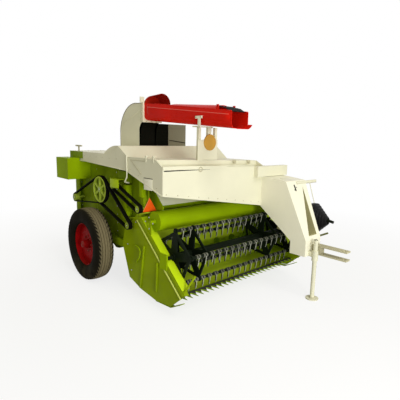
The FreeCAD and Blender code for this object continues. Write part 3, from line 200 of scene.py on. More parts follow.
def tread(angle, across):
    """Depth cut into the tyre at an angle and a distance across, the deepest of: four grooves round it,
    and slanted cuts d = depth ramp(saw(blocks a / 2 pi + slant |x|)) in the shoulder and the inner ribs."""
    side = np.abs(across)
    turn = angle * TREAD_BLOCKS / (2 * np.pi)

    def slanted(slant, half, soft, inner, inner_soft, outer, outer_soft, depth):
        saw = np.abs(((turn + side * slant) % 1) - 0.5)
        rib = soft_step(side, inner, inner_soft) * (1 - soft_step(side, outer, outer_soft))
        return (1 - soft_step(saw, half, soft)) * rib * depth

    grooves = sum(1 - soft_step(np.abs(side - at), 0.0035, 0.003) for at in (0.017, 0.052)) * 0.008
    notch = slanted(26, 0.17, 0.1, 0.068, 0.004, 0.106, 0.01, 0.009)
    sipe = slanted(-40, 0.10, 0.08, 0.026, 0.004, 0.043, 0.004, 0.005)
    return np.maximum(np.maximum(grooves, notch), sipe) * (side < 0.112)


TYRE_R, TREAD_HALF, CROWN_FALL = 0.47, 0.09, 0.0098
WALL = np.array([(0.075, 0.279), (0.090, 0.284), (0.099, 0.296), (0.103, 0.303), (0.1045, 0.308),
                 (0.109, 0.318), (0.1155, 0.345), (0.118, 0.372), (0.1165, 0.4), (0.112, 0.428),
                 (0.105, 0.447), (0.094, 0.4580)])
across = np.linspace(TREAD_HALF, -TREAD_HALF, 61)
crown = np.stack([across, TYRE_R - CROWN_FALL * (across / TREAD_HALF) ** 2], -1)
section = np.concatenate([WALL, crown, WALL[::-1] * (-1, 1)])
wheels = {}
for word in ("right", "left"):
    low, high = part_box("tyre_" + word)
    wheels[word] = centre = np.array((low + high) / 2)
    rubber = finish("rubber_" + word, (0.010, 0.009, 0.006), 0.7, dust=0.12, tint=0.12, grain=0.0004,
                    grain_scale=260.0, dust_colour=(0.12, 0.10, 0.05), soil=0.25, soil_top=0.3,
                    centre=tuple(centre), rings=(0.4575, 0.4665, (0.215, 0.178, 0.100)), gloss=0.02)
    tyre = piece("tyre_tread_" + word, [(spun(centre, section, 312, tread), True, True)], [rubber],
                 "wheel_" + word, crease=40)
    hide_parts("tyre_" + word)

# ------------------------ rims and hubs
# Pressed steel discs in dark red enamel, bolted to cast hubs with eight nuts and a domed cap.
# Rim and hub turn as one with the tyre.

rim_red = finish("rim_red", (0.36, 0.004, 0.005), 0.42, coat=0.02, dust=0.06, soil=0.35, soil_top=0.35,
                 tint=0.15, wave=0.002, grain=0.0002, dust_colour=(0.20, 0.05, 0.03), gloss=0.03)
hub_red = finish("hub_red", (0.24, 0.012, 0.012), 0.5, dust=0.35, soil=0.6, tint=0.15, grain=0.0003,
                 dust_colour=(0.42, 0.18, 0.13))


def dress(*names, mat):
    """Gives CAD nodes a finish."""
    for name in names:
        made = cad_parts[name]
        made.data.materials.clear()
        made.data.materials.append(mat)


def studs(points, axis, radius, height, sides=6):
    """Hexagon heads with a chamfered top, one at each point, standing along an axis."""
    axis = np.asarray(axis, float) / np.linalg.norm(axis)
    other = np.cross(axis, (0, 0, 1.0) if abs(axis[2]) < 0.9 else (1.0, 0, 0))
    other /= np.linalg.norm(other)
    third = np.cross(axis, other)
    turn = circle(sides)[:, None]
    ring = np.cos(turn) * other + np.sin(turn) * third
    steps = ((0, 0.0), (1, 0.0), (1, 0.72), (0.8, 1.0), (0, 1.0))
    shape = np.stack([ring * radius * r + axis * height * h for r, h in steps])
    return (np.asarray(points, float).reshape(-1, 1, 1, 3) + shape[None], False, True)


NUTS, NUT_CIRCLE_R, NUT_OUT = 8, 0.098, 0.0155
dress("rim_right", "rim_left", mat=rim_red)
for side, word, corner in ((-1, "right", 0), (1, "left", 1)):
    centre, turn = wheels[word], circle(NUTS)
    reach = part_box("rim_" + word)[corner].x - centre[0]
    circle_y, circle_z = NUT_CIRCLE_R * np.cos(turn), NUT_CIRCLE_R * np.sin(turn)
    nuts = centre + np.stack([np.full(NUTS, side * NUT_OUT), circle_y, circle_z], -1)
    cap = [(reach + side * out, r) for out, r in ((0.0, 0.0), (0.0, 0.037), (0.004, 0.037), (0.012, 0.033),
                                                  (0.017, 0.022), (0.019, 0.0))]
    piece("hub_cap_" + word, [(spun(centre, cap, 32), True, False), studs(nuts, (side, 0, 0), 0.013, 0.016)],
          [hub_red], "wheel_" + word)

# ------------------------ axle, chassis and thresher housing
# A square axle bar, two folded rails and the drum housing of painted sheet. The housing's seams are
# covered by flat straps, bolted every 110 mm; the drum is closed in.

# Lime darkened as painted shade, for the housing, frames and drive parts that stand in shade under and beside
# the deck.
lime_painted_shade = finish("lime_painted_shade", (0.24, 0.35, 0.005), 0.42, dust=0.2, soil=0.35, soil_top=1.0, tint=0.2,
                    wave=0.0025, grain=0.0003, dust_colour=(0.07, 0.08, 0.018), gloss=0.015)
black_iron = finish("black_iron", (0.007, 0.010, 0.005), 0.45, dust=0.08, tint=0.2, grain=0.0003, soil=0.1,
                    dust_colour=(0.06, 0.06, 0.03), gloss=0.03)
galvanised = finish("galvanised", (0.50, 0.50, 0.44), 0.38, metal=0.7, dust=0.1, tint=0.1, grain=0.0002,
                    gloss=0.3)


def fore(distance):
    """Y of a place measured forward from the axle, in metres."""
    return AXLE_Y - distance


def bar(start, end, wide, high, edge=0.002, ref=(0, 0, 1)):
    """Rectangular bar between two points with rounded edges: a rectangle of quarter-round corners
    carried along the run, drawn in by the edge radius at both ends. wide is across ref, high along it."""
    start, end = np.asarray(start, float), np.asarray(end, float)
    run = (end - start) / np.linalg.norm(end - start)
    side = np.cross(run, ref)
    side /= np.linalg.norm(side)
    above = np.cross(side, run)
    turn = (np.linspace(0, np.pi / 2, 3)[None] + np.arange(4)[:, None] * np.pi / 2).ravel()
    core = np.array([(1, 1), (-1, 1), (-1, -1), (1, -1)], float).repeat(3, 0)
    core *= wide / 2 - edge, high / 2 - edge
    curve = np.stack([np.cos(turn), np.sin(turn)], -1) * edge
    steps = ((0, 0, 0), (0, 1, 0), (edge * 0.3, 1, 0.7), (edge, 1, 1))
    rings = [(start + run * along, core * spread + curve * swell) for along, spread, swell in steps]
    rings += [(end - run * along, core * spread + curve * swell) for along, spread, swell in steps[::-1]]
    return (np.stack([at + flat[:, :1] * side + flat[:, 1:] * above for at, flat in rings]), False, True)


def block(low, high, edge=0.003):
    """Box from its lowest to its highest corner with rounded edges."""
    low, high = np.asarray(low, float), np.asarray(high, float)
    middle, size = (low + high) / 2, high - low
    return bar((low[0], middle[1], middle[2]), (high[0], middle[1], middle[2]), size[1], size[2], edge)


def spaced(start, end, step):
    """Points along a line at about a given step."""
    start, end = np.asarray(start, float), np.asarray(end, float)
    count = max(2, int(round(np.linalg.norm(end - start) / step)) + 1)
    return start + (end - start) * np.linspace(0, 1, count)[:, None]


AXLE_Y = 0.907
STRAP_T, STRAP_HALF, BOLT_STEP = 0.003, 0.02, 0.11
dress("axle_beam", mat=black_iron)
dress("chassis_frame", "thresher_housing", "rear_sills", mat=lime_painted_shade)
low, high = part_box("thresher_housing")
straps, heads = [], []
for x, out in ((low.x, -1), (high.x, 1)):
    face = x + out * STRAP_T
    for d, foot in ((0.34, 0.62), (-0.20, 0.70), (-0.68, 0.70)):
        y = fore(d)
        straps.append(block((min(x, face), y - STRAP_HALF, foot), (max(x, face), y + STRAP_HALF, 1.46), 0.001))
        line = spaced((face, y, foot + 0.05), (face, y, 1.42), BOLT_STEP)
        heads.append(studs(line, (out, 0, 0), 0.008, 0.006))
face = high.y + STRAP_T
for z in (0.72, 1.12, 1.47):
    straps.append(block((low.x + 0.03, high.y, z - STRAP_HALF), (high.x - 0.03, face, z + STRAP_HALF), 0.001))
    line = spaced((low.x + 0.08, face, z), (high.x - 0.08, face, z), BOLT_STEP)
    heads.append(studs(line, (0, 1, 0), 0.008, 0.006))
piece("housing_straps", straps, [lime_painted_shade])
# Rear corner post: folded sheet from the rail up to the guard box, behind the rear pulley's shaft.
POST_X, POST_Y, POST_FOOT, POST_TOP, POST_T = -0.900, 1.698, 0.610, 1.276, 0.0035
post = [block((POST_X, 1.560, POST_FOOT), (POST_X + POST_T, POST_Y, POST_TOP), 0.001),
        block((POST_X + POST_T, POST_Y - POST_T, POST_FOOT), (-0.800, POST_Y, POST_TOP), 0.001)]
piece("corner_post", post, [lime_painted_shade])
piece("housing_bolts", heads, [galvanised])

# ------------------------ deck, side sheets and hood
# Cream sheet steel folded over the housing and carried forward over the header. The front edge has
# a rolled ledge; small latches, a lifting eye and thumb nuts hold the removable covers.

cream = finish("cream_enamel", (0.80, 0.785, 0.60), 0.33, coat=0.06, dust=0.10, soil=0.15, soil_top=0.7,
               tint=0.03, wave=0.003, grain=0.0002, dust_colour=(0.66, 0.62, 0.44))
cream_dull = finish("cream_dull", (0.56, 0.53, 0.36), 0.5, wave=0.003, grain=0.0002,
                    dust_colour=(0.44, 0.40, 0.26))
cream_new = finish("cream_new", (0.93, 0.91, 0.74), 0.3, coat=0.06, dust=0.04, tint=0.02, grain=0.0001)
lime = finish("lime_enamel", (0.29, 0.43, 0.002), 0.30, coat=0.02, dust=0.06, soil=0.15, soil_top=0.35,
              wave=0.0022, grain=0.00012, dust_colour=(0.22, 0.26, 0.03), gloss=0.006)
shadow_gap = finish("shadow_gap", (0.02, 0.018, 0.012), 0.8, tint=0.1, dust=0.05, grain=0.0003, gloss=0.01)
dress("deck", "side_panel_right", "side_panel_left", "drum_hood", "front_deck", "front_panel", "front_wall",
      "arm_beam", "root_box", mat=cream)
X_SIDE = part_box("side_panel_right")[0].x
Y_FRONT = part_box("front_panel")[0].y
X_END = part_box("deck")[1].x


def tube(path, radius, sides=12, ref=(0, 0, 1), closed=False):
    """Round bar along a path: point(i, a) = path(i) + radius (cos a s + sin a u), where s and u are
    square to the path's direction and to each other. Ends are closed to a point."""
    path = np.asarray(path, float)
    run = np.roll(path, -1, 0) - np.roll(path, 1, 0) if closed else np.gradient(path, axis=0)
    run /= np.linalg.norm(run, axis=1)[:, None]
    side = np.cross(run, ref)
    side /= np.linalg.norm(side, axis=1)[:, None]
    above = np.cross(side, run)
    scale = np.full(len(path), radius)
    if not closed:
        keep = np.r_[0, np.arange(len(path)), len(path) - 1]
        path, side, above = path[keep], side[keep], above[keep]
        scale = np.r_[0, scale, 0]
    turn = circle(sides)[None, :, None]
    ring = np.cos(turn) * side[:, None] + np.sin(turn) * above[:, None]
    return (path[:, None] + ring * scale[:, None, None], closed, True)


def fold(line, thick, x0, x1, steps=2):
    """Bent sheet: a line of (Y, Z) points given thickness square to its runs, carried from x0 to x1.
    x0 and x1 may be arrays of (X, shift in Y, shift in Z) for a sheet whose ends differ."""
    line = np.asarray(line, float)
    run = np.diff(line, axis=0)
    run /= np.linalg.norm(run, axis=1)[:, None]
    left = np.stack([-run[:, 1], run[:, 0]], -1)
    count = len(left)
    before, after = left[np.r_[0, np.arange(count)]], left[np.r_[np.arange(count), count - 1]]
    mitre = (before + after) / (1 + (before * after).sum(1))[:, None]
    loop = np.concatenate([line, (line + mitre * thick)[::-1]])
    ends = [np.asarray(e, float) if np.ndim(e) else np.array([e, 0.0, 0.0]) for e in (x0, x1)]
    at = ends[0] + (ends[1] - ends[0]) * np.linspace(0, 1, steps)[:, None]
    grid = np.stack(np.broadcast_arrays(at[:, :1], loop[:, 0] + at[:, 1:2], loop[:, 1] + at[:, 2:]), -1)
    middle = np.broadcast_to(grid.mean(1, keepdims=True), grid.shape)
    return (np.concatenate([middle[:1], grid, middle[-1:]]), False, True)


def strip(x, line, wide, high, edge, ref=(0, 0, 1)):
    """Bars end to end along a line of (distance forward, Z) points in the plane X = x."""
    line = [(x, fore(d), z) for d, z in line]
    return [bar(a, b, wide, high, edge, ref) for a, b in zip(line, line[1:])]


# Ledge along the front sheet's top edge, which falls to the left with the deck.
EDGE_Z = 1.566
ledge = [(Y_FRONT - 0.001, 0.0), (Y_FRONT - 0.001, 0.028), (Y_FRONT + 0.02, 0.034)]
trim = [fold(ledge, 0.004, (X_SIDE + 0.002, 0, EDGE_Z - 0.03), (-0.10, 0, EDGE_Z - 0.0495), 3),
        bar((X_SIDE + 0.003, Y_FRONT + 0.003, EDGE_Z + 0.002), (0.38, Y_FRONT + 0.003, 1.5435), 0.012, 0.010,
            0.003)]
# Folded rims round the side sheet's lower and upper edges.
trim += strip(X_SIDE - 0.001, [(-0.29, 1.531), (0.806, 1.485), (1.48, 1.281)], 0.008, 0.012, 0.002)
trim += strip(X_SIDE + 0.006, [(0.86, 1.634), (1.365, 1.634), (1.484, 1.570)], 0.018, 0.006, 0.002)
# Latches of the top cover, standing on the side sheet's edge.
for d in (1.205, 1.338):
    y = fore(d)
    trim.append(block((X_SIDE - 0.004, y - 0.012, 1.600), (X_SIDE + 0.002, y + 0.012, 1.664), 0.0015))
    y -= 0.010
    trim.append(bar((X_SIDE - 0.002, y, 1.660), (X_SIDE + 0.030, y, 1.660), 0.014, 0.008, 0.002))
piece("cover_trim", trim, [cream])

# Access cover in the side sheet: a separate plate with a dark top joint.
cover = [block((X_SIDE - 0.003, fore(1.325), 1.312), (X_SIDE, fore(1.172), 1.428), 0.0012)]
piece("access_cover", cover, [cream_new])
# Seal strip that hangs from the front wall to the header's lip.
low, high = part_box("front_wall")
seal = [block((low.x + 0.002, low.y + 0.0015, 1.004), (high.x - 0.002, low.y + 0.0050, 1.052), 0.001)]
piece("throat_seal", seal, [lime])
joint = [block((X_SIDE - 0.0015, fore(1.330), 1.430), (X_SIDE, fore(1.167), 1.4365), 0.0005),
         block((X_SIDE + 0.015, Y_FRONT - 0.0012, 1.520), (-0.36, Y_FRONT, 1.531), 0.0004)]
piece("cover_joints", joint, [shadow_gap])

# Lifting eye, thumb nuts on the deck, and the rows of screws along the covers' edges.
EYE_R = 0.024
turn = circle(20)
eye = np.column_stack([EYE_R * np.cos(turn), 0 * turn, EYE_R * np.sin(turn)]) + (-0.504, Y_FRONT - 0.006, 1.527)
fittings = [tube(eye, 0.0045, 8, (0, 1, 0), True)]
for x, z in ((0.12, 1.5655), (0.38, 1.5575)):
    y = fore(1.42)
    fittings.append(studs([(x, y, z)], (0, 0, 1), 0.016, 0.02, 10))
    fittings.append(bar((x - 0.022, y, z + 0.030), (x + 0.022, y, z + 0.030), 0.008, 0.026, 0.003))
piece("deck_fittings", fittings, [cream_dull])
rows = [studs(spaced(start, end, step), axis, radius, 0.004) for start, end, step, axis, radius in (
    ((-0.955, Y_FRONT, 1.292), (0.50, Y_FRONT, 1.075), 0.145, (0, -1, 0), 0.006),
    ((X_SIDE, fore(-0.25), 1.60), (X_SIDE, fore(0.60), 1.60), 0.17, (-1, 0, 0), 0.006),
    ((X_SIDE, fore(0.90), 1.50), (X_SIDE, fore(1.40), 1.345), 0.16, (-1, 0, 0), 0.006),
    ((X_SIDE + 0.03, fore(-0.60), 1.65), (X_END - 0.03, fore(-0.60), 1.65), 0.19, (0, 0, 1), 0.007))]
piece("cover_screws", rows, [cream_dull])


def smoothed(points, count):
    """A line of points at equal shares of its corners, its inner points averaged with their neighbours."""
    points = np.asarray(points, float)
    share = np.linspace(0, len(points) - 1, count)
    line = np.stack([np.interp(share, np.arange(len(points)), column) for column in points.T], -1)
    line[1:-1] = (line[:-2] + 2 * line[1:-1] + line[2:]) / 4
    return line


# Bent guard rod on the side sheet and the two stay wires from the deck.
rod = [(-0.006, 0.83, 1.64), (-0.012, 0.846, 1.652), (-0.014, 0.849, 1.62), (-0.014, 0.852, 1.46),
       (-0.014, 0.848, 1.41), (-0.014, 0.80, 1.352), (0.06, 0.775, 1.335)]
rod = smoothed(rod, 43) * (1, -1, 1) + (X_SIDE, AXLE_Y, 0)
piece("side_rod", [tube(rod, 0.007, 10, (0.3, 0, 0.1))], [cream])
WIRE_X = X_SIDE - 0.003
wires = [tube(spaced((WIRE_X, fore(d0), z0), (WIRE_X, fore(d1), z1), 0.05), 0.0028, 6, (1, 0, 0))
         for d0, z0, d1, z1 in ((0.909, 1.61, 1.126, 1.464), (0.929, 1.606, 1.20, 1.607))]
piece("stay_wires", wires, [cream_dull])

# ------------------------ draft arm, hitch and jack
# Welded box arm in cream, its slot left in primer; bolts at the root, a clevis for the tractor's
# drawbar, a tubular jack with pin holes, and a bent olive hook for the hoses.

primer = finish("slot_primer", (0.50, 0.47, 0.24), 0.6, dust=0.2, tint=0.1, grain=0.0003,
                dust_colour=(0.42, 0.38, 0.20))
olive = finish("olive_enamel", (0.12, 0.13, 0.02), 0.45, dust=0.2, tint=0.2, grain=0.0003)
dress("hitch_hook", mat=olive)
dress("draft_arm", mat=cream_new)
dress("jack_sleeve", "jack_leg", mat=cream)
dress("clevis", mat=cream_dull)
ARM_TOP, ARM_FOOT = np.array([fore(1.860), 1.365]), np.array([fore(2.183), 0.700])
lean = (ARM_FOOT - ARM_TOP) / np.linalg.norm(ARM_FOOT - ARM_TOP)
out = np.array([lean[1], -lean[0]])
normal = (0, *out)


def on_arm(x, z, proud=0.0):
    """Points on the arm's sloping front face at heights z, stood off by proud."""
    share = (np.asarray(z, float)[..., None] - ARM_TOP[1]) / (ARM_FOOT[1] - ARM_TOP[1])
    spot = ARM_TOP + (ARM_FOOT - ARM_TOP) * share + out * proud
    return np.concatenate([np.broadcast_to(x, np.shape(z))[..., None], spot], -1)


bolts = [studs(on_arm([0.720, 0.668], [1.285, 1.262]), normal, 0.009, 0.008)]
piece("arm_bolts", bolts, [galvanised])
ends = on_arm([0.690, 0.690], [1.245, 1.318], 0.004)
piece("arm_catch", [bar(*ends, 0.014, 0.010, 0.003, ref=normal)], [black_iron])

# Primer skin inside the slot: a closed shell from the slot's back to the arm's face.
corners = np.array([(0.645, 0.740), (0.818, 0.740), (0.865, 1.300)])
share = np.linspace(0, 1, 12, endpoint=False)[:, None]
rim = np.concatenate([a + (b - a) * share for a, b in zip(corners, np.roll(corners, -1, 0))])
heart = corners.mean(0)
inwards = (heart - rim) / np.linalg.norm(heart - rim, axis=1)[:, None]
SLOT_BACK, SKIN_GAP, SKIN_T, SKIN_SHY, DRAWN_IN = 1.7, 0.0006, 0.0024, 0.002, 2.2


def slot_rings(inset):
    """Middle and edge of the slot's back, and its edge at the arm's face, drawn in towards its heart."""
    x, z = (rim + inwards * inset * DRAWN_IN).T
    y = fore(SLOT_BACK + inset)
    rear = np.stack([x, np.full(len(x), y), z], -1)
    middle = np.broadcast_to((heart[0], y, heart[1]), rear.shape)
    return np.stack([middle, rear, np.stack([x, on_arm(x, z)[:, 1] + SKIN_SHY, z], -1)])


skin = np.concatenate([slot_rings(SKIN_GAP), slot_rings(SKIN_GAP + SKIN_T)[::-1]])
piece("slot_skin", [(skin, False, True)], [primer])
y = fore(2.1835)
weld = [tube(spaced((0.67, y, z), (0.815, y, z), 0.012), 0.004, 6) for z in (0.63, 0.665)]
piece("arm_welds", weld, [cream])


def upright(centre, profile):
    """Surface of revolution about a vertical axis, from (Z, radius) points: the one about X, its
    coordinates rolled round."""
    return np.roll(spun((0, 0, 0), profile, 32), -1, -1) + centre


# Pressed lid of the jack's leg, and the collar where the leg meets its foot.
low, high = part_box("jack_leg")
leg = (low + high) / 2
lid = [(0.004, 0.0), (0.004, 0.022), (0.0, 0.0245), (-0.012, 0.0245), (-0.012, 0.0)]
collar = [(0.012, 0.0255), (0.006, 0.030), (0.0005, 0.036), (0.0, 0.0255)]
jack_parts = [(upright((leg.x, leg.y, high.z - 0.004), lid), True, False),
              (upright((leg.x, leg.y, 0.012), collar), True, True)]
piece("jack_trim", jack_parts, [cream_dull], "jack")

# ------------------------ input shaft and its guard
# A steel shaft under a ribbed black plastic bell; the bell hangs on a wire from the arm's top bar.
# The shaft ends in the gearbox, which is bolted to the housing.

bell_black = finish("bell_plastic", (0.007, 0.007, 0.007), 0.42, coat=0.02, dust=0.06, tint=0.1,
                    grain=0.0004, dust_colour=(0.06, 0.055, 0.04), gloss=0.06)
dress("pto_shaft", mat=black_iron)
dress("guard_bar", mat=cream)
dress("gearbox", mat=lime_painted_shade)
BELL_RIBS, RIB_DEEP, BELL_NOSE, BELL_SHOULDER, BELL_SQUARE, BELL_T = 7, 0.045, 0.043, 0.24, 0.62, 0.006
low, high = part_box("pto_guard")
middle = (low + high) / 2
tall, wide = (high.z - low.z) / 2 - 0.002, (high.x - low.x) / 2 - 0.002
turn = circle(64)


def bell(share, inward=0.0):
    """Bell's sections at shares of its length, from the wide mouth at the back to the narrow nose, swollen
    by ribs: (x, z) = (w cos^p, h sin^p), with their signs kept. inward draws in the inner skin."""
    share = share[:, None]
    x, z = (np.sign(part) * np.abs(part) ** BELL_SQUARE for part in (np.cos(turn), np.sin(turn)))
    taper = np.clip((share - BELL_SHOULDER) / (1 - BELL_SHOULDER), 0, 1)
    rib = 1 - RIB_DEEP * (0.5 + 0.5 * np.cos(share * BELL_RIBS * 2 * np.pi)) * (share > 0.2)
    half_x = (wide + (BELL_NOSE - wide) * taper) * rib - inward
    half_z = (tall + (BELL_NOSE - tall) * taper) * rib - inward
    y = high.y - (high.y - low.y) * share
    return np.stack([middle.x + half_x * x, y + 0 * turn, middle.z + half_z * z], -1)


along = np.linspace(0, 1, 46)
skins = np.concatenate([bell(along), bell(along[::-1], BELL_T)])
guard = piece("shaft_bell", [(skins, True, True)], [bell_black], crease=50)
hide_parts("pto_guard")
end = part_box("guard_bar")[1].x
caps = [bar((end - 0.004, fore(1.868), 1.335), (end, fore(1.868), 1.335), 0.036, 0.036, 0.001)]
piece("bar_cap", caps, [cream_dull])
low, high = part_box("gearbox")
flange = [(x, low.y, z) for z in (low.z + 0.02, high.z - 0.02) for x in (low.x + 0.02, high.x - 0.02)]
piece("gearbox_bolts", [studs(flange, (0, -1, 0), 0.010, 0.008)], [galvanised])

# ------------------------ chaff duct
# Square duct of cream sheet bent forward, stiffened by a pressed crease on each cheek, with flanged
# seams on its outer curve and a bolted flange towards the spout.

dress("chaff_duct", "duct_flange", mat=cream)
low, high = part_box("chaff_duct")
cheeks = (low.x - 0.001, high.x + 0.001)
creases = []
for x in cheeks:
    creases += strip(x, [(-0.185, 2.045), (0.225, 2.192)], 0.006, 0.014, 0.002)
    creases += strip(x, [(-0.235, 1.70), (-0.235, 1.94)], 0.006, 0.010, 0.002, ref=(0, 1, 0))
piece("duct_creases", creases, [cream])
# Dark face under the bend: a sheet painted near black as painted shade.
BEND_D, BEND_Z, INNER_BEND = 0.3707, 1.9243, 0.15
turn = np.radians(np.linspace(166.2, 103.8, 9))
bend = np.column_stack([fore(BEND_D + INNER_BEND * np.cos(turn)), BEND_Z + INNER_BEND * np.sin(turn)])
face = np.concatenate([[(fore(0.225), 1.653), (fore(0.225), 1.80)], bend])
duct_painted_shade = finish("duct_painted_shade", (0.006, 0.006, 0.004), 0.6, dust=0.08, tint=0.1, grain=0.0004,
                   dust_colour=(0.05, 0.045, 0.03), gloss=0.02)
piece("duct_face", [fold(face, 0.002, low.x + 0.002, high.x - 0.002)], [duct_painted_shade])
# Folded outer seam of each cheek: up the back, round the outer bend and along the top. Its dark colour is
# painted shade along the outer wall's edge.
OUTER_BEND = 0.385
start, end = np.array([-0.255, 1.960]), np.array([0.185, 2.292])
half = (end - start) / 2
side = np.array([half[1], -half[0]]) / np.linalg.norm(half)
hub = start + half + side * np.sqrt(OUTER_BEND ** 2 - half @ half)
first, last = (np.arctan2(*(point - hub)[::-1]) % (2 * np.pi) for point in (start, end))
turn = np.linspace(first, last, 25)
bend = hub + OUTER_BEND * np.column_stack([np.cos(turn), np.sin(turn)])
curve = np.concatenate([[(-0.255, 1.66)], bend, [(0.33, 2.292)]])
seam_painted_shade = finish("seam_painted_shade", (0.16, 0.14, 0.09), 0.6, dust=0.2, tint=0.15, grain=0.0003,
                   dust_colour=(0.2, 0.17, 0.11))
seams = [tube(np.column_stack([np.full(len(curve), x), fore(curve[:, 0]), curve[:, 1]]), 0.004, 8, (1, 0, 0))
         for x in cheeks]
piece("duct_seams", seams, [seam_painted_shade])
low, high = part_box("duct_flange")
near, far, foot, head = low.x + 0.012, high.x - 0.012, 2.058, 2.304
spots = [spaced((x, low.y, foot + 0.03), (x, low.y, head - 0.02), 0.055) for x in (near, far)]
spots.append(spaced((near, low.y, foot), (far, low.y, foot), 0.07))
piece("flange_bolts", [studs(np.concatenate(spots), (0, -1, 0), 0.009, 0.007)], [cream_dull])

# ------------------------ spout
# Glossy red trough of rolled sheet on the flange and on its rest: an arched hood at the root, a low
# cover along it, and a tongue under the hinged rubber flap at its end.

red = finish("spout_red", (0.72, 0.012, 0.004), 0.2, coat=0.05, dust=0.03, tint=0.06, wave=0.0035,
             grain=0.00005, dust_colour=(0.30, 0.03, 0.015), gloss=0.02)
# The hood gets a darker red than the spout, as painted shade for the shade inside its arch.
hood_red_painted_shade = finish("hood_red_painted_shade", (0.36, 0.012, 0.004), 0.3, dust=0.05, tint=0.10, wave=0.003, grain=0.0001,
                  dust_colour=(0.2, 0.04, 0.02), gloss=0.03)
swage_painted_highlight = finish("spout_swage_painted_highlight", (0.85, 0.12, 0.08), 0.14, coat=0.2, dust=0.02, tint=0.05, grain=0.00005,
                    gloss=0.2)
flap_black = finish("flap_rubber", (0.006, 0.006, 0.005), 0.55, dust=0.08, grain=0.0005,
                    dust_colour=(0.05, 0.045, 0.03), gloss=0.02)
dress("spout", "spout_cover", mat=red)
dress("spout_hood", mat=hood_red_painted_shade)
dress("spout_flap", mat=flap_black)


def slab(face, back):
    """Closed sheet between two grids of points, its four edges joined."""
    loops = np.concatenate([face, back[:, ::-1]], 1)
    ends = (loops + loops[:, ::-1]) / 2
    return (np.concatenate([ends[:1], loops, ends[-1:]]), False, True)


# Tongue: across the mouth, w from 0 to 1, it lengthens as near + more w^1.5 and curls up past a place.
TONGUE_Z, TONGUE_T, TONGUE_NEAR, TONGUE_MORE, CURL_FROM, CURL = 1.9555, 0.003, 0.018, 0.046, 0.72, 0.55
low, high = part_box("spout")
across, reach = np.meshgrid(np.linspace(0, 1, 21), np.linspace(0, 1, 9), indexing="ij")
tongue_x = low.x + 0.075 + across * (high.x - low.x - 0.079)
tongue_y = low.y + 0.004 - reach * (TONGUE_NEAR + TONGUE_MORE * across ** 1.5)
tongue_z = TONGUE_Z + np.clip(across - CURL_FROM, 0, 1) ** 2 * CURL - 0.004 * reach
under = np.stack([tongue_x, tongue_y, tongue_z], -1)
piece("spout_tongue", [slab(under + (0, 0, TONGUE_T), under)], [red])

WALL_FROM, WALL_TO, WALL_SWELL, WALL_FADE, SWAGE_AT = 0.402, 1.862, 0.016, 0.04, 0.27
ROOT_D, CREST_Z, CREST_FALL, FOOT_Z, FOOT_FALL = 0.349, 2.279, 0.10588, 2.130, 0.07516


def wall_height(reach, down):
    """Height on the spout's wall: down = 0 is its top edge, down = 1 the start of its rounded foot."""
    crest, foot = CREST_Z - CREST_FALL * (reach - ROOT_D), FOOT_Z - FOOT_FALL * (reach - ROOT_D)
    return crest + (foot - crest) * down


def wall_swell(reach, down):
    """How far the wall stands out: a half sine down the wall, faded out at both ends."""
    ends = np.clip(np.minimum(reach - WALL_FROM, WALL_TO - reach) / WALL_FADE, 0, 1)
    return 0.0008 + WALL_SWELL * np.sin(np.pi * down) * ends


# Rolled beads along the top edges; each wall is rolled outwards and carries a pressed swage, painted a bright
# pale red as a painted highlight.
beads = [tube(spaced((x, fore(0.575), 2.2640), (x, fore(1.873), 2.1265), 0.08), 0.0045, 8, (1, 0, 0))
         for x in (low.x + 0.003, high.x - 0.003)]
reach, down = np.meshgrid(np.linspace(WALL_FROM, WALL_TO, 61), np.linspace(0, 1, 13), indexing="ij")
line = np.linspace(0.42, 1.845, 40)
walls = []
for side, x in ((-1, low.x), (1, high.x)):
    face = np.stack([x + side * wall_swell(reach, down), fore(reach), wall_height(reach, down)], -1)
    back = np.stack([np.full(reach.shape, x + side * 0.0002), face[..., 1], face[..., 2]], -1)
    walls.append(slab(face, back))
    swage = [x + side * wall_swell(line, SWAGE_AT), fore(line), wall_height(line, SWAGE_AT)]
    beads.append((*tube(np.column_stack(swage), 0.0038, 8, (1, 0, 0)), 1))
piece("spout_walls", walls, [red])
piece("spout_beads", beads, [red, swage_painted_highlight])

# ------------------------ spout rest and disc
# Two cream posts under a saddle carry the spout; the plate ahead of them holds a plain gold disc
# with a raised rim.

gold = finish("gold_enamel", (0.60, 0.33, 0.05), 0.36, coat=0.15, dust=0.08, grain=0.0001)
dress("plain_disc", mat=gold)
dress("spout_rest", "disc_bracket", mat=cream)
low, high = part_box("plain_disc")
centre, radius = ((low.x + high.x) / 2, low.y, (low.z + high.z) / 2), (high.x - low.x) / 2 - 0.004
turn = circle(64)
rim = centre + np.column_stack([radius * np.cos(turn), 0 * turn, radius * np.sin(turn)])
piece("disc_rim", [tube(rim, 0.0035, 8, (0, 1, 0), True)], [gold])
low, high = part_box("spout_rest")
rests = [studs([(x, low.y, low.z + 0.03) for x in (-0.40, -0.18)], (0, -1, 0), 0.009, 0.007),
         studs([(x, low.y, 1.975) for x in (low.x + 0.03, -0.22)], (0, -1, 0), 0.008, 0.006)]
piece("rest_bolts", rests, [cream_dull])
# Strap that rises from the saddle in front of the spout's wall and holds it by two bolts.
FACE_X, FRONT_Y, SADDLE_Z, HEAD_Z = -0.478, -0.545, 1.972, 2.090
strap = [block((FACE_X + 0.002, FRONT_Y, SADDLE_Z), (-0.430, -0.430, SADDLE_Z + 0.0055), 0.0015),
         block((FACE_X + 0.002, FRONT_Y, SADDLE_Z), (FACE_X + 0.008, -0.503, HEAD_Z), 0.0015),
         block((FACE_X, -0.572, HEAD_Z - 0.028), (FACE_X + 0.008, -0.462, HEAD_Z), 0.0015)]
piece("spout_strap", strap, [cream_new])
hold = [studs([(FACE_X, y, HEAD_Z - 0.014) for y in (-0.556, -0.480)], (-1, 0, 0), 0.009, 0.007)]
piece("strap_bolts", hold, [cream_dull])

# ------------------------ intake box and grey box
# Black moulded intake beside the duct, its front slatted inside a raised edge, and the grey
# sheet-steel box behind it with a folded seam and a cable clipped under its cover.

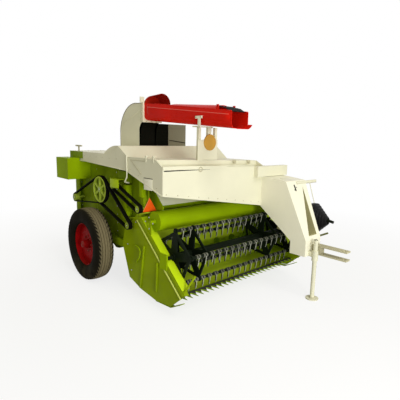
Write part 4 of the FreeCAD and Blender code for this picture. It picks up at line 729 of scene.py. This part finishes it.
intake_black = finish("intake_black", (0.005, 0.005, 0.003), 0.55, dust=0.05, tint=0.1, grain=0.0004,
                      dust_colour=(0.05, 0.045, 0.03), gloss=0.015)
grey = finish("grey_enamel", (0.24, 0.22, 0.155), 0.45, dust=0.15, tint=0.04, wave=0.002, grain=0.0002,
              dust_colour=(0.24, 0.20, 0.13))
dress("intake_box", mat=intake_black)
dress("grey_box", mat=grey)
low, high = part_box("intake_box")
y, x_end = low.y + 0.001, high.x - 0.007
slats = [bar((low.x, y, high.z - 0.008), (high.x, y, high.z - 0.008), 0.008, 0.016, 0.002),
         bar((x_end, y, low.z + 0.02), (x_end, y, high.z - 0.01), 0.014, 0.008, 0.002, ref=(0, 1, 0))]
slats += [bar((low.x + 0.015, y + 0.002, z), (high.x - 0.02, y + 0.002, z - 0.004), 0.010, 0.006, 0.0015)
          for z in np.linspace(low.z + 0.07, high.z - 0.06, 7)]
piece("intake_slats", slats, [intake_black])
low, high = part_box("grey_box")
seam_z, y, x_end, x_fold = high.z - 0.05, low.y + 0.001, high.x - 0.001, low.x + 0.012
seams = [bar((low.x, y, seam_z), (high.x, y, seam_z), 0.005, 0.008, 0.0015),
         bar((x_end, low.y + 0.02, seam_z), (x_end, high.y - 0.02, seam_z), 0.005, 0.008, 0.0015),
         bar((x_fold, y, low.z), (x_fold, y, seam_z), 0.012, 0.005, 0.0015, ref=(0, 1, 0))]
piece("grey_seams", seams, [grey])
y = low.y - 0.0015
cable = [tube(spaced((low.x + 0.02, y, 1.820), (high.x - 0.01, y, 1.785), 0.02), 0.005, 8)]
piece("grey_cable", cable, [flap_black])

# ------------------------ header
# Pan, side plates and roll of lime enamel, the pan painted paler as painted light for the light that falls into
# it; the side plates are stiffened by pressed ribs and edged by a folded flange, and a loop of round bar is the
# hand grip.

side_lime = finish("side_lime", (0.27, 0.37, 0.003), 0.36, coat=0.03, dust=0.05, soil=0.25, soil_top=0.4,
                   tint=0.12, wave=0.003, grain=0.0002, dust_colour=(0.20, 0.24, 0.03), gloss=0.015)
pan_lime_painted_light = finish("pan_lime_painted_light", (0.58, 0.74, 0.03), 0.34, coat=0.03, dust=0.04, wave=0.0022, grain=0.00012,
                  dust_colour=(0.40, 0.44, 0.10), gloss=0.02)
# Bright lime; on the header's flanges it is painted light.
edge_lime = finish("edge_lime", (0.50, 0.68, 0.006), 0.28, coat=0.05, dust=0.04, tint=0.06, grain=0.0001,
                   gloss=0.03)
bead_painted_highlight = finish("bead_painted_highlight", (0.66, 0.74, 0.16), 0.3, coat=0.05, dust=0.04, tint=0.06, grain=0.0001,
                   gloss=0.03)
knife_steel = finish("knife_steel", (0.09, 0.09, 0.085), 0.35, metal=0.6, tint=0.15, grain=0.0003,
                     dust_colour=(0.14, 0.12, 0.08))
dress("header_pan", mat=pan_lime_painted_light)
dress("header_roll", "knife_guards", mat=lime)
dress("header_side_right", "header_side_left", mat=side_lime)
dress("header_pivots", "auger", mat=lime_painted_shade)
dress("knife", mat=knife_steel)
# Places on a side plate as (distance forward, Z): its ribs, grip, bolts and the flange's two ends.
RIBS = ([(1.072, 0.662), (0.984, 0.137)], [(1.321, 0.532), (1.303, 0.197)])
GRIP = [(0.879, 0.618), (0.925, 0.631), (0.964, 0.626), (0.998, 0.608), (1.015, 0.580), (1.008, 0.54),
        (0.994, 0.504), (0.955, 0.462), (0.919, 0.424)]
SIDE_BOLTS = ((0.72, 0.86), (0.72, 0.60), (0.90, 0.90), (0.80, 0.30), (1.17, 0.875), (1.24, 0.945),
              (1.10, 0.945), (1.17, 1.0))
NOSE, CROWN = np.array([1.775, 0.311]), np.array([0.975, 0.985])
inward = np.array([NOSE[1] - CROWN[1], CROWN[0] - NOSE[0]]) / np.linalg.norm(NOSE - CROWN)
GRIP_POINTS, GRIP_STAND, GRIP_R = 41, 0.018, 0.0065
flat = smoothed(GRIP, GRIP_POINTS)
from_end = np.minimum(np.arange(GRIP_POINTS), np.arange(GRIP_POINTS)[::-1])
stand = np.minimum(1, from_end / 3) * GRIP_STAND
for word, sign, corner in (("right", -1, 0), ("left", 1, 1)):
    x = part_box("header_side_" + word)[corner].x
    ribs = strip(x, [(0.64, 0.905), (1.00, 0.965)], 0.008, 0.016, 0.003)
    for rib in RIBS:
        ribs += strip(x + sign * 0.003, rib, 0.026, 0.020, 0.008, ref=(1, 0, 0))
    piece("side_ribs_" + word, ribs, [side_lime])
    path = np.column_stack([x + sign * stand, fore(flat[:, 0]), flat[:, 1]])
    piece("grip_" + word, [tube(path, GRIP_R, 10, (1, 0, 0))], [lime])
    heads = [studs([(x, fore(d), z) for d, z in SIDE_BOLTS], (sign, 0, 0), 0.009, 0.006)]
    piece("side_bolts_" + word, heads, [galvanised])
    # Folded front flange: a band along the plate's front edge, and its stiffening bead, painted pale as a
    # painted highlight.
    for mm, wide, proud, at, mat in ((26, 0.044, 0.004, 0.001, side_lime),
                                     (74, 0.012, 0.012, 0.003, bead_painted_highlight)):
        line = [CROWN + inward * mm / 1000, NOSE + inward * mm / 1000]
        band = strip(x + sign * at, line, wide, proud, 0.0015, ref=(1, 0, 0))
        piece(f"flange_band_{word}_{mm}", band, [mat])
    # Bright sheet on the flange, its pale lime painted light.
    lit_sheet_x = x - sign * 0.054
    lit_sheet = [bar((lit_sheet_x, fore(CROWN[0] + 0.02) - 0.0012, CROWN[1] - 0.0155),
                (lit_sheet_x, fore(NOSE[0] - 0.04) - 0.0012, NOSE[1] + 0.0350),
                0.098, 0.003, 0.001, ref=(0, inward[0], -inward[1]))]
    piece("flange_painted_light_" + word, lit_sheet, [edge_lime])

# ------------------------ reel
# Black enamelled spiders on a steel tube; each tine bar carries spring tines whose dark double
# coils wrap the bar, and keeps its tines upright as the reel turns.

reel_black = finish("reel_black", (0.006, 0.010, 0.005), 0.38, coat=0.02, dust=0.05, tint=0.15,
                    grain=0.0003, dust_colour=(0.06, 0.065, 0.03), gloss=0.03)
spring = finish("spring_steel", (0.42, 0.43, 0.36), 0.42, metal=0.2, dust=0.1, tint=0.2, grain=0.0002)
coil_steel = finish("coil_steel", (0.15, 0.155, 0.12), 0.45, metal=0.2, dust=0.1, tint=0.3, grain=0.0002)
dress("reel_frame", mat=reel_black)
dress("reel_arms", mat=lime)
TINES, TINE_STEP, FIRST_TINE = 18, 0.1, -0.743
BAR_R, COIL_R, COIL_PITCH, COIL_TURNS, COIL_WIRE_R = 0.016, 0.0205, 0.00675, 3, 0.0026
PRONG_R, PRONG_LONG, PRONG_BOW = 0.0038, 0.094, 0.0165
turns = np.linspace(0, 2 * np.pi * COIL_TURNS, 49)
down = np.linspace(0, 1, 9)
for number in range(1, 6):
    bar_name = f"tine_bar_{number}"
    dress(bar_name, mat=reel_black)
    low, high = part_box(bar_name)
    y, z = (low.y + high.y) / 2, high.z - BAR_R
    coils = []
    for tine in range(TINES):
        x = FIRST_TINE + TINE_STEP * tine
        for way in (-1, 1):
            wind = [x + way * (0.006 + COIL_PITCH * turns / (2 * np.pi)), y + COIL_R * np.sin(turns),
                    z - COIL_R * np.cos(turns)]
            coils.append((*tube(np.column_stack(wind), COIL_WIRE_R, 6, (1, 0, 0)), 1))
        prong = [np.full(len(down), x), y - COIL_R + PRONG_BOW * down ** 2, z - 0.004 - PRONG_LONG * down]
        coils.append(tube(np.column_stack(prong), PRONG_R, 6, (1, 0, 0)))
    piece(f"tine_springs_{number}", coils, [spring, coil_steel], bar_name, crease=60)

# ------------------------ belt drive
# Spoked cast main pulley, small pulleys on flanged bearings, and three thick V-belts, all fixed to the
# side frame; the pulleys' rims stand proud of the belts on both edges.

belt_black = finish("belt_rubber", (0.006, 0.006, 0.004), 0.6, dust=0.08, tint=0.1, grain=0.0004,
                    dust_colour=(0.05, 0.05, 0.03), gloss=0.02)
pulley_lime = finish("pulley_lime", (0.36, 0.47, 0.04), 0.4, dust=0.2, tint=0.15, grain=0.0002,
                     dust_colour=(0.24, 0.27, 0.08))
dress("drive_belts", mat=belt_black)
dress("drive_pulleys", mat=pulley_lime)
dress("side_frame", mat=lime_painted_shade)
# Pulley centres as (distance forward, Z) and their hubs' radii, the main pulley first.
PULLEYS = (((0.150, 1.192), 0.034), ((-0.617, 0.993), 0.020), ((0.47, 1.279), 0.020),
           ((1.03, 1.075), 0.020), ((0.81, 0.85), 0.020))
drive_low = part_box("drive_pulleys")[0].x
centres, hubs = [], []
for (d, z), hub in PULLEYS:
    centres.append((drive_low, fore(d), z))
    cap = [(-0.001, 0.0), (-0.001, hub * 0.75), (0.0, hub), (0.010, hub), (0.010, 0.0)]
    hubs.append((spun(centres[-1], cap, 24), True, False))
piece("pulley_hubs", hubs, [lime_painted_shade])
# Turned rim of the main pulley, and the bent cover plate above the tensioner.
ring = [(0.0, 0.150), (-0.004, 0.152), (-0.005, 0.158), (-0.004, 0.164), (0.0, 0.166)]
piece("pulley_rim", [(spun(centres[0], ring, 64), True, True)], [pulley_lime])
bent = [block((-1.012, 0.255, 1.262), (-1.0065, 0.452, 1.364), 0.002),
        block((-1.012, 0.255, 1.3585), (-0.938, 0.452, 1.364), 0.002)]
piece("tensioner_cover", bent, [edge_lime])
HUB_BOLTS, HUB_BOLT_R = 6, 0.024
turn = circle(HUB_BOLTS) + np.pi / HUB_BOLTS
holes = centres[0] + np.stack([0 * turn, HUB_BOLT_R * np.cos(turn), HUB_BOLT_R * np.sin(turn)], -1)
bearings = [studs(centres, (-1, 0, 0), 0.009, 0.004), studs(holes, (-1, 0, 0), 0.0045, 0.004)]
piece("pulley_bolts", bearings, [galvanised])
# Folded posts and the corner bracket that stiffen the side frame between the belts.
posts = [block((-0.944, fore(0.715), 0.93), (-0.868, fore(0.640), 1.300)),
         block((-0.944, fore(1.045), 1.20), (-0.895, fore(0.985), 1.452)),
         block((-0.993, fore(1.159), 1.425), (-0.965, fore(1.043), 1.472))]
piece("frame_posts", posts, [lime])

# ------------------------ rear guard box and reflector
# Bright lime box over the rear drive with folded lips and bolts beneath, a pale handle on its lid,
# and a warning reflector in its holder on the side frame.

dress("guard_box", mat=lime)
HANDLE_X, HANDLE_Y, HANDLE_TOP = -0.940, 1.462, 1.722
runs = (((HANDLE_X, HANDLE_Y, 1.655), (HANDLE_X, HANDLE_Y, HANDLE_TOP), 0.02),
        ((HANDLE_X, 1.370, HANDLE_TOP), (HANDLE_X, 1.554, HANDLE_TOP), 0.03))
grip = [tube(spaced(*run), 0.0105, 12, (1, 0, 0)) for run in runs]
piece("handle_sleeve", grip, [cream_dull])
low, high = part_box("guard_box")
x, y, z = low.x + 0.002, low.y + 0.0015, low.z + 0.004
lip = [bar((x, low.y + 0.002, z), (x, high.y - 0.002, z), 0.006, 0.010, 0.002),
       bar((low.x + 0.004, y, low.z + 0.006), (high.x - 0.004, y, low.z + 0.006), 0.005, 0.012, 0.002)]
piece("guard_lips", lip, [lime])
places = [(low.x + 0.03, y, low.z + 0.001) for y in (low.y + 0.06, (low.y + high.y) / 2, high.y - 0.06)]
piece("guard_bolts", [studs(places, (0, 0, -1), 0.010, 0.010)], [galvanised])
amber = finish("reflector_amber", (1.0, 0.12, 0.008), 0.3, coat=0.1, dust=0.02, tint=0.04, grain=0.00005)
pale_amber = finish("reflector_edge", (0.9, 0.32, 0.10), 0.3, coat=0.4, tint=0.05, dust=0.05)
dress("reflector", mat=amber)
low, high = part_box("reflector")
y = low.y - 0.0005
edge = [bar((low.x + 0.006, y, low.z + 0.010), ((low.x + high.x) / 2 - 0.004, y, high.z - 0.012), 0.007, 0.004,
            0.001, ref=(0, 1, 0))]
piece("reflector_rim", edge, [pale_amber])

# ------------------------ floor, light and camera
# Pale studio floor that fades into white with distance. A soft box stands low ahead of the machine on
# its right, with a weak, broad light above its front; the viewer stands off its front right corner.

FLOOR_HALF, FADE_FROM, FADE_TO, GLOW_NEAR, FLOOR_SEEN, FLOOR_LIT = 60, 2.2, 6.5, 0.78, 0.95, 0.50
corners = [(x * FLOOR_HALF, y * FLOOR_HALF, 0) for x, y in ((-1, -1), (1, -1), (1, 1), (-1, 1))]
floor = bpy.data.meshes.new("floor")
floor.from_pydata(corners, [], [(0, 1, 2, 3)])
placed("floor", floor)


def split_rays(tree, output, lit, seen):
    """Feeds an output with one shader for the rays that light the machine, and another for camera, glossy
    and transmission rays, which see the white studio."""
    ray = tree.nodes.new("ShaderNodeLightPath").outputs
    factor = ray["Is Camera Ray"]
    for word in ("Is Glossy Ray", "Is Transmission Ray"):
        factor = add_node(tree, "Math", {0: factor, 1: ray[word]}, operation="MAXIMUM")
    mix = add_node(tree, "MixShader", {0: factor, 1: lit, 2: seen})
    feed(tree, tree.nodes[output].inputs["Surface"], mix)


# Seen by the eye, the floor is matt near the machine and glows white far off; it lights the machine
# as a mid grey all over.
pale = bpy.data.materials.new("studio_floor")
pale.use_nodes = True
tree = pale.node_tree
tree.nodes.remove(tree.nodes["Principled BSDF"])
span = add_node(tree, "VectorMath", {0: add_node(tree, "TexCoord", {}, "Object")}, "Value", operation="LENGTH")
fade = add_node(tree, "MapRange", {0: span, 1: FADE_FROM, 2: FADE_TO, 3: GLOW_NEAR, 4: 1.0})
near, grey_floor = (add_node(tree, "BsdfDiffuse", {"Color": (level,) * 3}) for level in (FLOOR_SEEN, FLOOR_LIT))
glow = add_node(tree, "Emission", {"Color": (1, 1, 1)})
split_rays(tree, "Material Output", grey_floor, add_node(tree, "MixShader", {0: fade, 1: near, 2: glow}))
floor.materials.append(pale)

world = bpy.data.worlds.new("world")
world.use_nodes = True
tree = world.node_tree
tree.nodes.remove(tree.nodes["Background"])
warm, plain = (add_node(tree, "Background", {"Color": colour, "Strength": strength})
               for colour, strength in (((1.0, 0.95, 0.76), 0.46), ((1, 1, 1), 1.0)))
split_rays(tree, "World Output", warm, plain)
bpy.context.scene.world = world


def lamp(name, kind, energy, towards):
    """Lamp whose light falls against a direction."""
    light = bpy.data.lights.new(name, kind)
    light.energy = energy
    made = placed(name, light)
    made.rotation_euler = Vector(towards).to_track_quat("Z", "Y").to_euler()
    return made


BOX_AT, BOX_AIM, BOX_POWER = Vector((-2.1, -5.7, 1.6)), Vector((0.2, -0.6, 0.9)), 165
soft_box = lamp("soft_box", "AREA", BOX_POWER, BOX_AT - BOX_AIM)
soft_box.location = BOX_AT
soft_box.data.size = 1.5
lamp("overhead", "SUN", 0.9, (0.0, -1.0, 1.1)).data.angle = math.radians(30)

EYE, LENS = Vector((-3.093, -3.459, 1.843)), 32.55
YAW, PITCH, ROLL = math.radians(42.14), math.radians(9.52), math.radians(1.18)
ahead = Vector((math.sin(YAW) * math.cos(PITCH), math.cos(YAW) * math.cos(PITCH), -math.sin(PITCH)))
across = Vector((math.cos(YAW), -math.sin(YAW), 0))
upward = across.cross(ahead)
right = across * math.cos(ROLL) + upward * math.sin(ROLL)
top = upward * math.cos(ROLL) - across * math.sin(ROLL)
lens = bpy.data.cameras.new("camera")
lens.lens = LENS
camera = placed("camera", lens)
camera.matrix_world = Matrix(((right.x, top.x, -ahead.x, EYE.x), (right.y, top.y, -ahead.y, EYE.y),
                              (right.z, top.z, -ahead.z, EYE.z), (0, 0, 0, 1)))
bpy.context.scene.camera = camera
bpy.context.scene.view_settings.view_transform = "Standard"
